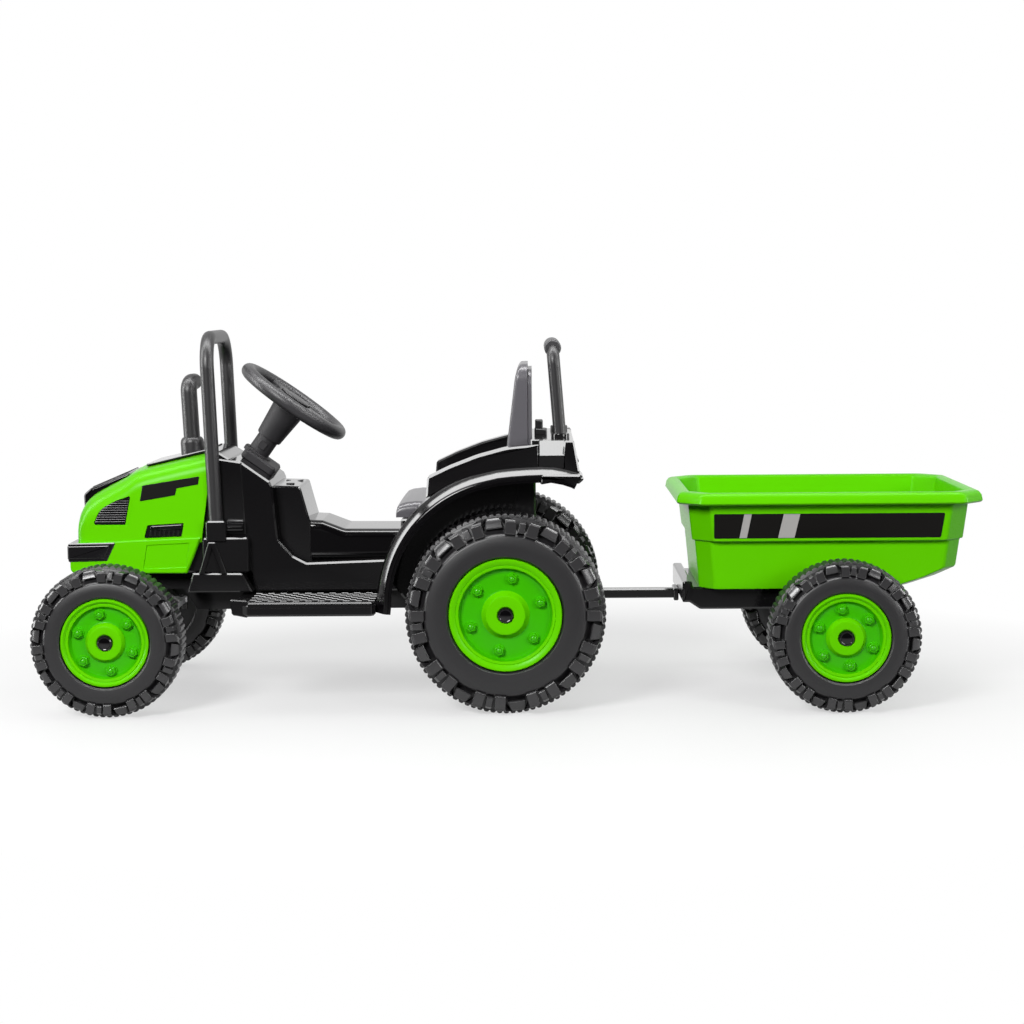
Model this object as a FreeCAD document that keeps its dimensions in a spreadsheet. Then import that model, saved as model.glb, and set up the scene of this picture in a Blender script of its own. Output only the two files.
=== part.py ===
import FreeCAD, Part
import math
import operator
import os
import Sketcher

# Ride-on toy tractor with a two-wheeled trailer.
# +X runs from the tractor's nose to the trailer's tail, +Z is up, and the driver's left is -Y.
# The origin lies on the floor under the middle of the whole train.

Vector = FreeCAD.Vector
Rotation = FreeCAD.Rotation
Placement = FreeCAD.Placement
AXIS = {"X": Vector(1, 0, 0), "Y": Vector(0, 1, 0), "Z": Vector(0, 0, 1)}

doc = FreeCAD.newDocument("RideOnTractor")

# Driving dimensions in millimetres, or plain counts
SIZES = {
    # Where the axles stand
    "wheelbase": 554,
    "trailer_wheelbase": 470,
    "front_track": 410,
    "rear_track": 376,
    "trailer_track": 402,
    # Large wheel
    "large_radius": 140,
    "large_width": 84,
    "large_rim": 79,
    "large_shoulder": 28,
    "large_groove": 12,
    "large_inset": 20,
    "large_crown": 12,
    "large_lug": 15,
    "large_lug_face": 15,
    "large_ring": 13,
    "large_boss": 35,
    "large_boss_top": 28,
    "large_bolt_circle": 51,
    # Small wheel
    "small_radius": 106,
    "small_width": 66,
    "small_rim": 62,
    "small_shoulder": 22,
    "small_groove": 10,
    "small_inset": 16,
    "small_crown": 10,
    "small_lug": 12,
    "small_lug_face": 12,
    "small_ring": 11,
    "small_boss": 29,
    "small_boss_top": 24.5,
    "small_bolt_circle": 40,
    # Both wheels
    "lug_pairs": 10,
    "lug_sink": 2,
    "tyre_wall": 4,
    "hub_radius": 20,
    "hub_back": 6,
    "web_depth": 14,
    "bead_depth": 6,
    "bead_step": 6,
    "bead_lip": 5,
    "rim_gap": 0.2,
    "rim_wall": 3.5,
    "dish_depth": 15,
    "boss_drop": 4,
    "bolt_count": 6,
    "bolt_radius": 5.5,
    "bolt_height": 4,
    "cap_radius": 10.5,
    "cap_thick": 6,
    "nut_depth": 22,
    "nut_radius": 9,
    "nut_thick": 8,
    "seat_depth": 30,
    # Axles and fits
    "rear_axle_radius": 6,
    "axle_radius": 5,
    "spacer_radius": 9,
    "fit": 0.05,
    "gap": 0.3,
    # Chassis tray
    "chassis_half": 72,
    "chassis_wall": 4,
    "chassis_top": 186,
    "belly_drop": 10,
    "nose_floor_z": 160,
    "nose_reach": 40,
    "nose_back": 85,
    "nose_slope": 20,
    "chassis_tail": 96,
    # Front beam, knuckles and tie rod
    "kingpin_y": 150,
    "kingpin_radius": 5,
    "kingpin_head": 9,
    "beam_half": 12,
    "beam_top": 144,
    "beam_thick": 14,
    "beam_saddle": 60,
    "lower_plate_z": 76,
    "lower_plate": 6,
    "web_y": 118,
    "web_thick": 8,
    "plate_end": 164,
    "knuckle_radius": 13,
    "arm_z": 100,
    "arm_thick": 10,
    "arm_half": 7,
    "arm_pin_radius": 4,
    "arm_pin_height": 12,
    "tie_thick": 8,
    "tie_half": 8,
    "eye_radius": 10,
    "tie_plate_half": 18,
    "slot_half_x": 13,
    "slot_half_y": 6.5,
    # Steering column
    "steer_x": 241.8,
    "steer_z": 427.7,
    "crank_x": 39.8,
    "crank_z": 146,
    "crank_radius": 22,
    "crank_half": 9,
    "crank_thick": 8,
    "crank_pin_radius": 3.5,
    "crank_pin": 31,
    "column_radius": 5,
    "column_tube": 15.8,
    "tube_top": 30,
    "tube_end": 95.7,
    "sleeve_radius": 19.75,
    "sleeve_end": 66,
    "ring_radius": 81.5,
    "ring_tube": 10,
    "hub_disc": 30,
    "hub_top": 6,
    "hub_floor": 12,
    "pad_radius": 24,
    "pad_thick": 7,
    "pad_travel": 2.5,
    "pad_stem": 18,
    "spoke_half": 12,
    "spoke_thick": 8,
    "collar_front": 17,
    "collar_rear": 37,
    "collar_half": 36,
    # Bonnet and bumper, measured from the front axle
    "bonnet_half": 100,
    "bonnet_wall": 4,
    "bonnet_round": 24,
    "parting_z": 236,
    "bonnet_rear_z": 356,
    "bonnet_back_x": 127,
    "bonnet_back_z": 307,
    "bonnet_part_x": 117,
    "kink_x": 15.5,
    "kink_z": 338,
    "nose_x": 56,
    "nose_z": 304,
    "nose_foot_x": 61,
    "bumper_x": 73,
    "bumper_z": 229,
    "bumper_rear_x": 95.5,
    "lamp_top": 228,
    "lamp_bottom": 203,
    "lamp_rear": 6,
    "lamp_slant": 13,
    "lamp_inner": 45,
    "lamp_proud": 2,
    "trim_half": 60,
    "trim_thick": 5,
    "trim_front_x": 34,
    "vent_thick": 2.5,
    "vent_foot_z": 251,
    "vent_height": 46,
    "vent_front_x": 43,
    "vent_length": 54,
    "louvre_z": 239,
    "louvre_height": 17,
    "louvre_front_x": 34,
    "louvre_length": 57,
    "louvre_slant": 4,
    # Exhaust
    "exhaust_x": 91.5,
    "exhaust_collar": 16.5,
    "exhaust_collar_top": 376,
    "exhaust_radius": 11.5,
    "exhaust_bore": 8.5,
    "exhaust_bend": 13,
    "exhaust_bend_z": 443,
    "exhaust_mouth": 6,
    # Cowl, dash, console and tunnel
    "cowl_half": 86,
    "cowl_wall": 4,
    "cowl_gap": 0.5,
    "dash_x": 174,
    "dash_z": 344.5,
    "dash_end_x": 211,
    "dash_corner": 30,
    "console_half": 66,
    "console_z": 307,
    "console_end_x": 257,
    "console_foot_x": 271,
    "console_foot_z": 258,
    "tunnel_z": 246,
    "tunnel_front_x": 323,
    "rail_half": 92,
    "rail_inner": 62,
    "rail_top": 207,
    "skirt_wall": 4,
    # Roll bar
    "roll_x": 143,
    "roll_y": 99,
    "roll_radius": 9,
    "roll_lean": 2.1,
    "roll_top": 532,
    "roll_bend": 28,
    "roll_foot": 196,
    "socket_half": 14,
    "socket_top": 262,
    "foot_block_z": 237,
    "foot_block_x": 43,
    "knob_radius": 8.7,
    "knob_length": 24,
    "knob_z": 254,
    # Seat, backrest and seat box, measured from the rear axle
    "seat_box_half": 132,
    "seat_box_wall": 4,
    "seat_box_front": 150,
    "seat_z": 266,
    "deck_x": 44,
    "deck_rise": 36,
    "deck_tail": 98,
    "tail_x": 104,
    "tail_drop": 7,
    "tail_under": 23,
    "rail_thick": 8,
    "rail_length": 20,
    "seat_half": 122,
    "seat_lip_x": 154,
    "seat_lip_z": 290,
    "seat_crest_x": 117,
    "seat_crest_z": 299,
    "seat_dip_z": 284,
    "back_foot": 2,
    "back_thick": 38,
    "back_half": 92,
    "back_top": 482,
    "back_lean": 18,
    "back_round": 32,
    "seat_wall": 3,
    # Rear handle bar
    "handle_x": 78.5,
    "handle_y": 100,
    "handle_rise": 137,
    "handle_lean": 4.5,
    "handle_radius": 8.75,
    "handle_bend": 24,
    "handle_depth": 30,
    "handle_boss": 14,
    # Fenders
    "fender_outer": 205,
    "fender_wall": 4,
    "fender_wall_z": 200,
    "arch_x": 8,
    "arch_lift": 10,
    "arch_clear": 34,
    "arch_thick": 13,
    "arch_top_x": 30,
    "roof_rise": 61,
    "roof_x": 47,
    "roof_thick": 16,
    "arm_y": 168,
    "arm_front_x": 110,
    "arm_front_drop": 33,
    "arm_front_high": 9,
    "arm_mid_x": 43,
    "arm_mid_rise": 8,
    "arm_rear_rise": 27,
    # Running boards and accelerator pedal
    "step_front_x": 169,
    "step_clear": 1,
    "step_outer": 210,
    "step_top": 157,
    "step_thick": 19,
    "step_ledge": 4,
    "step_wall": 3,
    "pedal_x": 264,
    "pedal_z": 168,
    "pedal_y": 150,
    "pedal_half": 18,
    "pedal_length": 58,
    "pedal_thick": 7,
    "pedal_barrel": 6,
    "pedal_pin": 3,
    "pedal_tilt": 24,
    "lug_wide": 6,
    "lug_half": 8,
    # Console switches
    "rocker_x": 238,
    "rocker_y": 30,
    "rocker_length": 12,
    "rocker_half": 7,
    "rocker_rise": 4.5,
    "rocker_pin": 1.2,
    "rocker_pin_end": 9.5,
    "button_y": 30,
    "button_radius": 6,
    "button_flange": 8.5,
    "button_rise": 2.5,
    "button_drop": 10,
    # Drive
    "gear_module": 1.5,
    "gear_teeth": 56,
    "pinion_teeth": 16,
    "gear_width": 12,
    "gear_backlash": 0.25,
    "gear_y": 92,
    "motor_rise": 24,
    "motor_radius": 18,
    "motor_length": 57,
    "shaft_radius": 2.5,
    "housing_outer": 122,
    "housing_wall": 3,
    "housing_front": 74,
    "housing_rear": 52,
    "housing_half_z": 52,
    "dog_radius": 14,
    # Battery
    "battery_length": 151,
    "battery_half": 32.5,
    "battery_clear": 18,
    "battery_rear": 179,
    # Hitch and drawbar
    "hitch_reach": 18,
    "hitch_plate": 6,
    "hitch_half": 22,
    "hitch_tongue": 6,
    "pin_radius": 5,
    "pin_head": 9,
    "pin_tail": 8,
    "drawbar_z": 133.5,
    "drawbar_high": 14,
    "drawbar_half": 9,
    "drawbar_eye": 12,
    "flange_half": 25,
    "flange_thick": 6,
    "flange_drop": 2,
    # Trailer, measured from its axle
    "tub_overhang": 204,
    "tub_reach": 228,
    "tub_half": 170,
    "tub_top": 302,
    "lip_z": 284,
    "lip_side": 17,
    "tub_wall": 4,
    "tub_draft": 6,
    "tub_step_z": 231,
    "tub_step": 4,
    "tub_step_side": 10,
    "tub_knee_z": 190,
    "tub_floor_z": 162,
    "tub_tail_rise": 92,
    "corner_x": 47,
    "corner_y": 35,
    "base_front": 219,
    "base_rear": 90,
    "base_half": 112,
    "base_bottom": 130,
    "base_bracket_z": 171,
    "base_bracket": 14,
    "base_wall": 4,
    "hanger_half": 15,
    "hanger_thick": 12,
    "hanger_drop": 14,
}

sheet = doc.addObject("Spreadsheet::Sheet", "Sizes")
for row, (alias, number) in enumerate(SIZES.items(), 1):
    sheet.set(f"A{row}", alias)
    sheet.set(f"B{row}", str(number))
    sheet.setAlias(f"B{row}", alias)
doc.recompute()

OPERATIONS = {"+": operator.add, "-": operator.sub, "*": operator.mul, "/": operator.truediv}


class Size:
    """A number together with the sheet expression that gives it."""

    def __init__(self, value, text):
        self.value = float(value)
        self.text = text

    def __add__(self, other):
        return joined(self, "+", other)

    def __radd__(self, other):
        return joined(other, "+", self)

    def __sub__(self, other):
        return joined(self, "-", other)

    def __rsub__(self, other):
        return joined(other, "-", self)

    def __mul__(self, other):
        return joined(self, "*", other)

    def __rmul__(self, other):
        return joined(other, "*", self)

    def __truediv__(self, other):
        return joined(self, "/", other)

    def __rtruediv__(self, other):
        return joined(other, "/", self)

    def __neg__(self):
        return joined(0, "-", self)


def as_size(amount):
    if isinstance(amount, Size):
        return amount
    return Size(amount, f"({float(amount)!r})")


def joined(left, sign, right):
    left = as_size(left)
    right = as_size(right)
    value = OPERATIONS[sign](left.value, right.value)
    return Size(value, f"({left.text} {sign} {right.text})")


def root(amount):
    return Size(math.sqrt(amount.value), f"sqrt({amount.text})")


class Sheet:
    """The sheet's cells as sizes, by alias."""

    def __getattr__(self, alias):
        return Size(SIZES[alias], f"Sizes.{alias}")


d = Sheet()


def bind(thing, prop, amount):
    thing.setExpression(prop, as_size(amount).text)


def place(thing, x=0, y=0, z=0):
    bind(thing, "Placement.Base.x", x)
    bind(thing, "Placement.Base.y", y)
    bind(thing, "Placement.Base.z", z)
    return thing


# Solids from the Part workbench

def box(name, x, y, z):
    """Block between pairs of limits."""
    solid = doc.addObject("Part::Box", name)
    bind(solid, "Length", x[1] - x[0])
    bind(solid, "Width", y[1] - y[0])
    bind(solid, "Height", z[1] - z[0])
    return place(solid, x[0], y[0], z[0])


def rod(name, axis, radius, ends, x=0, y=0, z=0):
    """Cylinder along a main axis, between two limits on that axis."""
    solid = doc.addObject("Part::Cylinder", name)
    bind(solid, "Radius", radius)
    bind(solid, "Height", ends[1] - ends[0])
    solid.Placement = Placement(Vector(), Rotation(AXIS["Z"], AXIS[axis]))
    start = {"X": x, "Y": y, "Z": z}
    start[axis] = start[axis] + ends[0]
    return place(solid, start["X"], start["Y"], start["Z"])


def fuse(name, *solids):
    union = doc.addObject("Part::MultiFuse", name)
    union.Shapes = list(solids)
    return union


def cut(name, base, *tools):
    result = doc.addObject("Part::Cut", name)
    result.Base = base
    result.Tool = tools[0] if len(tools) == 1 else fuse(name + "_tools", *tools)
    return result


def group(name, *solids):
    """Separate solids that share one node."""
    bundle = doc.addObject("Part::Compound", name)
    bundle.Links = list(solids)
    return bundle


def mirrored(name, source):
    """The same piece on the other side of the mid-plane."""
    copy = doc.addObject("Part::Mirroring", name)
    copy.Source = source
    copy.Normal = AXIS["Y"]
    return copy


def pair(name, source):
    return group(name, source, mirrored(name + "_right", source))


# Bodies from sketches

def new_body(name):
    return doc.addObject("PartDesign::Body", name)


def origin_part(body, role):
    for feature in body.Origin.OriginFeatures:
        if feature.Role == role:
            return feature


def new_sketch(body, name, plane, offset=0, turn=0):
    sketch = body.newObject("Sketcher::SketchObject", name)
    sketch.AttachmentSupport = (origin_part(body, plane), [""])
    sketch.MapMode = "FlatFace"
    sketch.AttachmentOffset = Placement(Vector(), Rotation(AXIS["Y"], turn))
    bind(sketch, "AttachmentOffset.Base.z", offset)
    return sketch


def arc_between(start, end, radius):
    """Minor arc; a positive radius has its centre on the left of the way from start to end."""
    chord = end - start
    left = Vector(-chord.y, chord.x, 0).normalize()
    reach = math.sqrt(radius ** 2 - chord.Length ** 2 / 4)
    centre = (start + end) / 2 + left * math.copysign(reach, radius)
    first, last = (start, end) if radius > 0 else (end, start)
    angles = [math.atan2(spot.y - centre.y, spot.x - centre.x) for spot in (first, last)]
    return Part.ArcOfCircle(Part.Circle(centre, AXIS["Z"], abs(radius)), *angles)


def draw_outline(sketch, corners, closed=True):
    """Outline of lines and arcs; a third entry is the radius of the arc that arrives at that corner."""
    corners = [tuple(as_size(entry) for entry in corner) for corner in corners]
    spots = [Vector(corner[0].value, corner[1].value, 0) for corner in corners]
    ways = []
    rules = []
    bound = []

    def fix(segment, end, corner):
        for kind, amount in (("DistanceX", corner[0]), ("DistanceY", corner[1])):
            bound.append((len(rules), amount.text))
            rules.append(Sketcher.Constraint(kind, segment, end, amount.value))

    first = 0 if closed else 1
    for index in range(first, len(corners)):
        corner = corners[index]
        if len(corner) == 3:
            sketch.addGeometry(arc_between(spots[index - 1], spots[index], corner[2].value), False)
            ways.append((1, 2) if corner[2].value > 0 else (2, 1))
        else:
            sketch.addGeometry(Part.LineSegment(spots[index - 1], spots[index]), False)
            ways.append((1, 2))
    for segment, way in enumerate(ways):
        after = (segment + 1) % len(ways)
        if after or closed:
            rules.append(Sketcher.Constraint("Coincident", segment, way[1], after, ways[after][0]))
    if not closed:
        fix(0, ways[0][0], corners[0])
    for segment, corner in enumerate(corners[first:]):
        fix(segment, ways[segment][1], corner)
        if len(corner) == 3:
            radius = corner[2] if corner[2].value > 0 else -corner[2]
            bound.append((len(rules), radius.text))
            rules.append(Sketcher.Constraint("Radius", segment, radius.value))
    sketch.addConstraint(rules)
    for rule, text in bound:
        sketch.setExpression(f"Constraints[{rule}]", text)
    return sketch


def draw_circle(sketch, x, y, radius):
    x, y, radius = as_size(x), as_size(y), as_size(radius)
    sketch.addGeometry(Part.Circle(Vector(x.value, y.value, 0), AXIS["Z"], radius.value), False)
    sketch.addConstraint([
        Sketcher.Constraint("DistanceX", 0, 3, x.value),
        Sketcher.Constraint("DistanceY", 0, 3, y.value),
        Sketcher.Constraint("Radius", 0, radius.value),
    ])
    for rule, amount in enumerate((x, y, radius)):
        bind(sketch, f"Constraints[{rule}]", amount)
    return sketch


def add_pad(body, name, plane, corners, ends):
    """Prism of an outline between two limits along the axis square to the plane."""
    offset = -ends[1] if plane == "XZ_Plane" else ends[0]
    sketch = draw_outline(new_sketch(body, name + "_outline", plane, offset), corners)
    pad = body.newObject("PartDesign::Pad", name)
    pad.Profile = sketch
    bind(pad, "Length", ends[1] - ends[0])
    body.Tip = pad
    return pad


def add_fin(body, name, corners, thick, turn):
    """Prism on both sides of the XY plane turned about the Y axis."""
    sketch = draw_outline(new_sketch(body, name + "_outline", "XY_Plane", 0, turn), corners)
    pad = body.newObject("PartDesign::Pad", name)
    pad.Profile = sketch
    pad.SideType = "Symmetric"
    bind(pad, "Length", thick)
    body.Tip = pad
    return pad


def prism(name, plane, corners, ends):
    body = new_body(name)
    add_pad(body, name + "_pad", plane, corners, ends)
    return body


def turned(name, corners):
    """Solid of revolution about the Y axis from radius and axial place."""
    body = new_body(name)
    sketch = draw_outline(new_sketch(body, name + "_section", "XY_Plane"), corners)
    revolution = body.newObject("PartDesign::Revolution", name + "_turn")
    revolution.Profile = sketch
    revolution.ReferenceAxis = (sketch, ["V_Axis"])
    revolution.Angle = 360
    body.Tip = revolution
    return body


def spun(body, name, features, count):
    """Copies of features about the Y axis."""
    pattern = body.newObject("PartDesign::PolarPattern", name)
    pattern.Originals = features
    pattern.Axis = (origin_part(body, "Y_Axis"), [""])
    pattern.Angle = 360
    bind(pattern, "Occurrences", count)
    body.Tip = pattern
    return pattern


def edge_names(shape, test):
    return [f"Edge{index}" for index, edge in enumerate(shape.Edges, 1) if test(edge)]


def face_names(shape, test):
    return [f"Face{index}" for index, face in enumerate(shape.Faces, 1) if test(face)]


def add_fillet(body, name, radius, test):
    doc.recompute()
    base = body.Tip
    fillet = body.newObject("PartDesign::Fillet", name)
    fillet.Base = (base, edge_names(base.Shape, test))
    bind(fillet, "Radius", radius)
    body.Tip = fillet
    return fillet


def hollow(body, name, wall, test):
    """Shell of one wall, open at the faces that pass the test."""
    doc.recompute()
    base = body.Tip
    shell = body.newObject("PartDesign::Thickness", name)
    shell.Base = (base, face_names(base.Shape, test))
    shell.Reversed = True
    shell.Join = "Intersection"
    bind(shell, "Value", wall)
    body.Tip = shell
    return shell


def at_column(thing, depth=0):
    """Put a piece drawn along Z on the steering column's slanted axis."""
    thing.Placement = Placement(Vector(), Rotation(AXIS["Y"], 1))
    bind(thing, "Placement.Rotation.Angle", column_angle)
    place(thing, steer_x - depth * column_sin, 0, d.steer_z - depth * column_cos)
    return thing


# Places that several pieces share
rear_x = (d.wheelbase + d.small_radius - d.trailer_wheelbase - d.tub_overhang) / 2
front_x = rear_x - d.wheelbase
trailer_x = rear_x + d.trailer_wheelbase
roof_z = 2 * d.large_radius + d.roof_rise
deck_z = roof_z + d.deck_rise
tail_z = roof_z - d.tail_drop
column_run = d.steer_x - d.crank_x
column_rise = d.steer_z - d.crank_z
column_length = root(column_run * column_run + column_rise * column_rise)
column_sin = column_run / column_length
column_cos = column_rise / column_length
column_slope = column_run / column_rise
column_angle = Size(
    math.degrees(math.atan2(column_run.value, column_rise.value)),
    f"atan2({column_run.text}; {column_rise.text})",
)
steer_x = front_x + d.steer_x
tie_z = d.arm_z + d.arm_thick + d.gap
tie_middle = tie_z + d.tie_thick / 2
arm_length = d.crank_x + d.crank_radius / column_cos - (d.crank_z - tie_middle) * column_slope
dash_depth = (d.steer_x - d.dash_x) * column_sin + (d.steer_z - d.dash_z) * column_cos
dash_end_z = d.dash_z - (d.dash_end_x - d.dash_x) * column_slope
seat_front = rear_x - d.seat_box_front
NODES = {}


def keep(node, solid):
    """Name a finished sub-part; the name is also its file's."""
    solid.Label = node
    NODES[node] = solid
    return solid


# Wheels: a hollow tyre moulding, a coloured rim plugged into its face, and a hub cap

def tyre_form(kind, axle):
    radius = getattr(d, kind + "_radius")
    half = getattr(d, kind + "_width") / 2
    rim = getattr(d, kind + "_rim")
    shoulder = radius - getattr(d, kind + "_shoulder")
    groove = radius - getattr(d, kind + "_groove")
    inset = half - getattr(d, kind + "_inset")
    crown = getattr(d, kind + "_crown")
    lug = getattr(d, kind + "_lug")
    lug_face = getattr(d, kind + "_lug_face")
    wall = d.tyre_wall
    bead = rim + d.bead_lip
    web = d.web_depth - half
    body = turned(kind + "_tyre_form", [
        (axle + d.fit, d.hub_back - half),
        (d.hub_radius, d.hub_back - half),
        (d.hub_radius, web),
        (rim - d.bead_step, web),
        (rim, d.bead_depth - half),
        (bead, -half),
        (shoulder, -half),
        (groove, -inset),
        (radius, -crown),
        (radius, crown),
        (groove, inset),
        (shoulder, half),
        (bead, half),
        (rim, half - d.bead_depth),
        (rim, half - d.bead_depth - d.bead_lip),
        (bead, half - wall),
        (shoulder, half - wall),
        (groove - wall, inset - wall),
        (radius - wall, crown - wall),
        (radius - wall, wall - crown),
        (groove - wall, wall - inset),
        (shoulder, wall - half),
        (bead, wall - half),
        (rim - d.bead_step, web + wall),
        (d.hub_radius, web + wall),
        (d.hub_radius, half - d.seat_depth),
        (axle + d.fit, half - d.seat_depth),
    ])
    pitch = 360 / SIZES["lug_pairs"]
    spread = pitch / 5
    lugs = []
    for side, phase in ((1, 0), (-1, pitch / 2)):
        block = [
            (shoulder - d.lug_sink, side * (half - d.lug_sink)),
            (shoulder - d.lug_sink, side * half),
            (shoulder + lug_face, side * half),
            (radius - d.lug_sink, side * inset),
            (radius - d.lug_sink, side * crown),
            (groove - d.lug_sink, side * (inset - d.lug_sink)),
        ]
        for turn in (phase - spread, phase + spread):
            name = f"{kind}_lug_{len(lugs)}"
            lugs.append(add_fin(body, name, block, lug, turn))
    spun(body, kind + "_lugs", lugs, d.lug_pairs)
    return body


def rim_form(kind, axle):
    half = getattr(d, kind + "_width") / 2
    edge = getattr(d, kind + "_rim") - d.rim_gap
    ring = edge - getattr(d, kind + "_ring")
    boss = getattr(d, kind + "_boss")
    boss_top = getattr(d, kind + "_boss_top")
    dish = half - d.dish_depth
    front = half - d.boss_drop
    back = half - d.seat_depth
    body = turned(kind + "_rim_form", [
        (axle + d.fit, back),
        (d.hub_radius, back),
        (d.hub_radius, dish - d.rim_wall),
        (ring, dish - d.rim_wall),
        (edge, half - d.bead_depth - d.rim_wall),
        (edge, half - d.rim_wall),
        (ring, half - d.bead_depth),
        (ring - d.rim_wall, dish),
        (boss, dish),
        (boss_top, front),
        (d.cap_radius + d.rim_gap, front),
        (d.cap_radius + d.rim_gap, half - d.nut_depth),
        (axle + d.fit, half - d.nut_depth),
    ])
    sketch = new_sketch(body, kind + "_bolt_outline", "XZ_Plane", -dish)
    draw_circle(sketch, getattr(d, kind + "_bolt_circle"), 0, d.bolt_radius)
    bolt = body.newObject("PartDesign::Pad", kind + "_bolt")
    bolt.Profile = sketch
    bolt.Reversed = True
    bind(bolt, "Length", d.bolt_height)
    spun(body, kind + "_bolts", [bolt], d.bolt_count)
    cap_end = half - d.rim_wall
    cap = rod(kind + "_cap", "Y", d.cap_radius, (cap_end - d.cap_thick, cap_end))
    return group(kind + "_rim_set", body, cap)


def wheel(node, forms, x, track, radius, side):
    """One wheel's tyre and rim; forms face outwards along +Y."""
    for part, form in zip(("tyre", "rim"), forms):
        copy = group(f"{node}_{part}_copy", form)
        copy.Placement = Placement(Vector(), Rotation(AXIS["Z"], 0 if side > 0 else 180))
        keep(f"{node}_{part}", place(copy, x, side * track / 2, radius))


def axle_nut(name, side, track, width, x, z, bore):
    """Lock nut on an axle's end, inside the hub's recess."""
    start = track / 2 + width / 2 - d.nut_depth + d.gap
    ends = (start, start + d.nut_thick) if side > 0 else (-start - d.nut_thick, -start)
    solid = rod(name + "_body", "Y", d.nut_radius, ends, x=x, z=z)
    return cut(name, solid, rod(name + "_bore", "Y", bore, ends, x=x, z=z))


def axle_end(track, width):
    return track / 2 + width / 2 - d.nut_depth + d.gap + d.nut_thick


def hub_face(track, width):
    """Distance from the mid-plane to a wheel's inner hub face."""
    return track / 2 - width / 2 + d.hub_back


large_forms = (tyre_form("large", d.rear_axle_radius), rim_form("large", d.rear_axle_radius))
small_forms = (tyre_form("small", d.axle_radius), rim_form("small", d.axle_radius))
for side, word in ((-1, "left"), (1, "right")):
    wheel(f"front_{word}", small_forms, front_x, d.front_track, d.small_radius, side)
    wheel(f"rear_{word}", large_forms, rear_x, d.rear_track, d.large_radius, side)
    wheel(f"trailer_{word}", small_forms, trailer_x, d.trailer_track, d.small_radius, side)

# Rear axle rod with its lock nuts
rear_end = axle_end(d.rear_track, d.large_width)
rear_rod = rod("rear_axle_rod", "Y", d.rear_axle_radius, (-rear_end, rear_end), x=rear_x, z=d.large_radius)
rear_nuts = [
    axle_nut(f"rear_nut_{side}", side, d.rear_track, d.large_width, rear_x, d.large_radius,
             d.rear_axle_radius)
    for side in (-1, 1)
]
keep("rear_axle", group("rear_axle_set", rear_rod, *rear_nuts))

# Chassis tray under the whole tractor, open at the top
belly_z = d.large_radius - d.belly_drop
chassis_body = prism("chassis_body", "XZ_Plane", [
    (front_x - d.nose_reach, d.chassis_top),
    (front_x - d.nose_reach, d.nose_floor_z),
    (front_x + d.nose_back, d.nose_floor_z),
    (front_x + d.nose_back + d.nose_slope, belly_z),
    (rear_x + d.chassis_tail, belly_z),
    (rear_x + d.chassis_tail, d.chassis_top),
], (-d.chassis_half, d.chassis_half))
hollow(chassis_body, "chassis_tray", d.chassis_wall,
       lambda face: face.BoundBox.ZMin > SIZES["chassis_top"] - 1)

# Gear centre and motor place
centre_distance = d.gear_module * (d.gear_teeth + d.pinion_teeth) / 2 + d.fit
motor_x = rear_x - root(centre_distance * centre_distance - d.motor_rise * d.motor_rise)
motor_z = d.large_radius + d.motor_rise
full_width = (-d.rail_half, d.rail_half)
column_bore = rod("column_bore", "Z", d.column_radius + d.fit, (-column_length, 0))
at_column(column_bore, column_length)
chassis_cuts = [
    rod("chassis_axle_bore", "Y", d.rear_axle_radius, full_width, x=rear_x, z=d.large_radius),
    rod("chassis_shaft_bore", "Y", d.shaft_radius + d.fit, full_width, x=motor_x, z=motor_z),
    column_bore,
]
keep("chassis", cut("chassis_cut", chassis_body, *chassis_cuts))


# Drive: motors in the tray, their pinions, and the gears that turn the rear wheels

def gear_shape(module, teeth, width, bore, backlash, facing):
    """Spur gear about +Y from 0 to its width, with a gap (or a tooth) facing an angle in degrees."""
    pitch = module * teeth / 2
    base = pitch * math.cos(math.radians(20))
    tip = pitch + 0.8 * module
    foot = pitch - 1.1 * module

    def involute(radius):
        pressure = math.acos(min(1, base / radius))
        return math.tan(pressure) - pressure

    half_pitch = math.pi / (2 * teeth) - backlash / (2 * pitch) + involute(pitch)
    steps = [max(base, foot) + (tip - max(base, foot)) * share / 4 for share in range(5)]
    flank = [(foot, half_pitch)] + [(radius, half_pitch - involute(radius)) for radius in steps]
    spots = []
    for tooth in range(teeth):
        middle = math.radians(facing) + 2 * math.pi * tooth / teeth
        for radius, lean in flank:
            spots.append((radius, middle - lean))
        for radius, lean in reversed(flank):
            spots.append((radius, middle + lean))
    points = [Vector(radius * math.cos(a), 0, radius * math.sin(a)) for radius, a in spots]
    face = Part.Face(Part.makePolygon(points + points[:1]))
    solid = face.extrude(Vector(0, width, 0))
    if bore:
        solid = solid.cut(Part.makeCylinder(bore, width, Vector(), AXIS["Y"]))
    return solid


def coded(name, shape, x, y, z):
    """A shape worked out in code, put in place by the sheet."""
    solid = doc.addObject("Part::Feature", name)
    solid.Shape = shape
    return place(solid, x, y, z)


pinion_angle = math.degrees(math.atan2(SIZES["motor_rise"], motor_x.value - rear_x.value))
pinion_tooth = pinion_angle + 180
gear_gap = pinion_angle + 180 / SIZES["gear_teeth"]
gear_solid = gear_shape(
    SIZES["gear_module"], SIZES["gear_teeth"], SIZES["gear_width"],
    SIZES["rear_axle_radius"] + SIZES["fit"], SIZES["gear_backlash"], gear_gap)
pinion_solid = gear_shape(
    SIZES["gear_module"], SIZES["pinion_teeth"], SIZES["gear_width"],
    0, SIZES["gear_backlash"], pinion_tooth)
wheel_hub = hub_face(d.rear_track, d.large_width)
tray_face = d.chassis_half - d.chassis_wall

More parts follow.
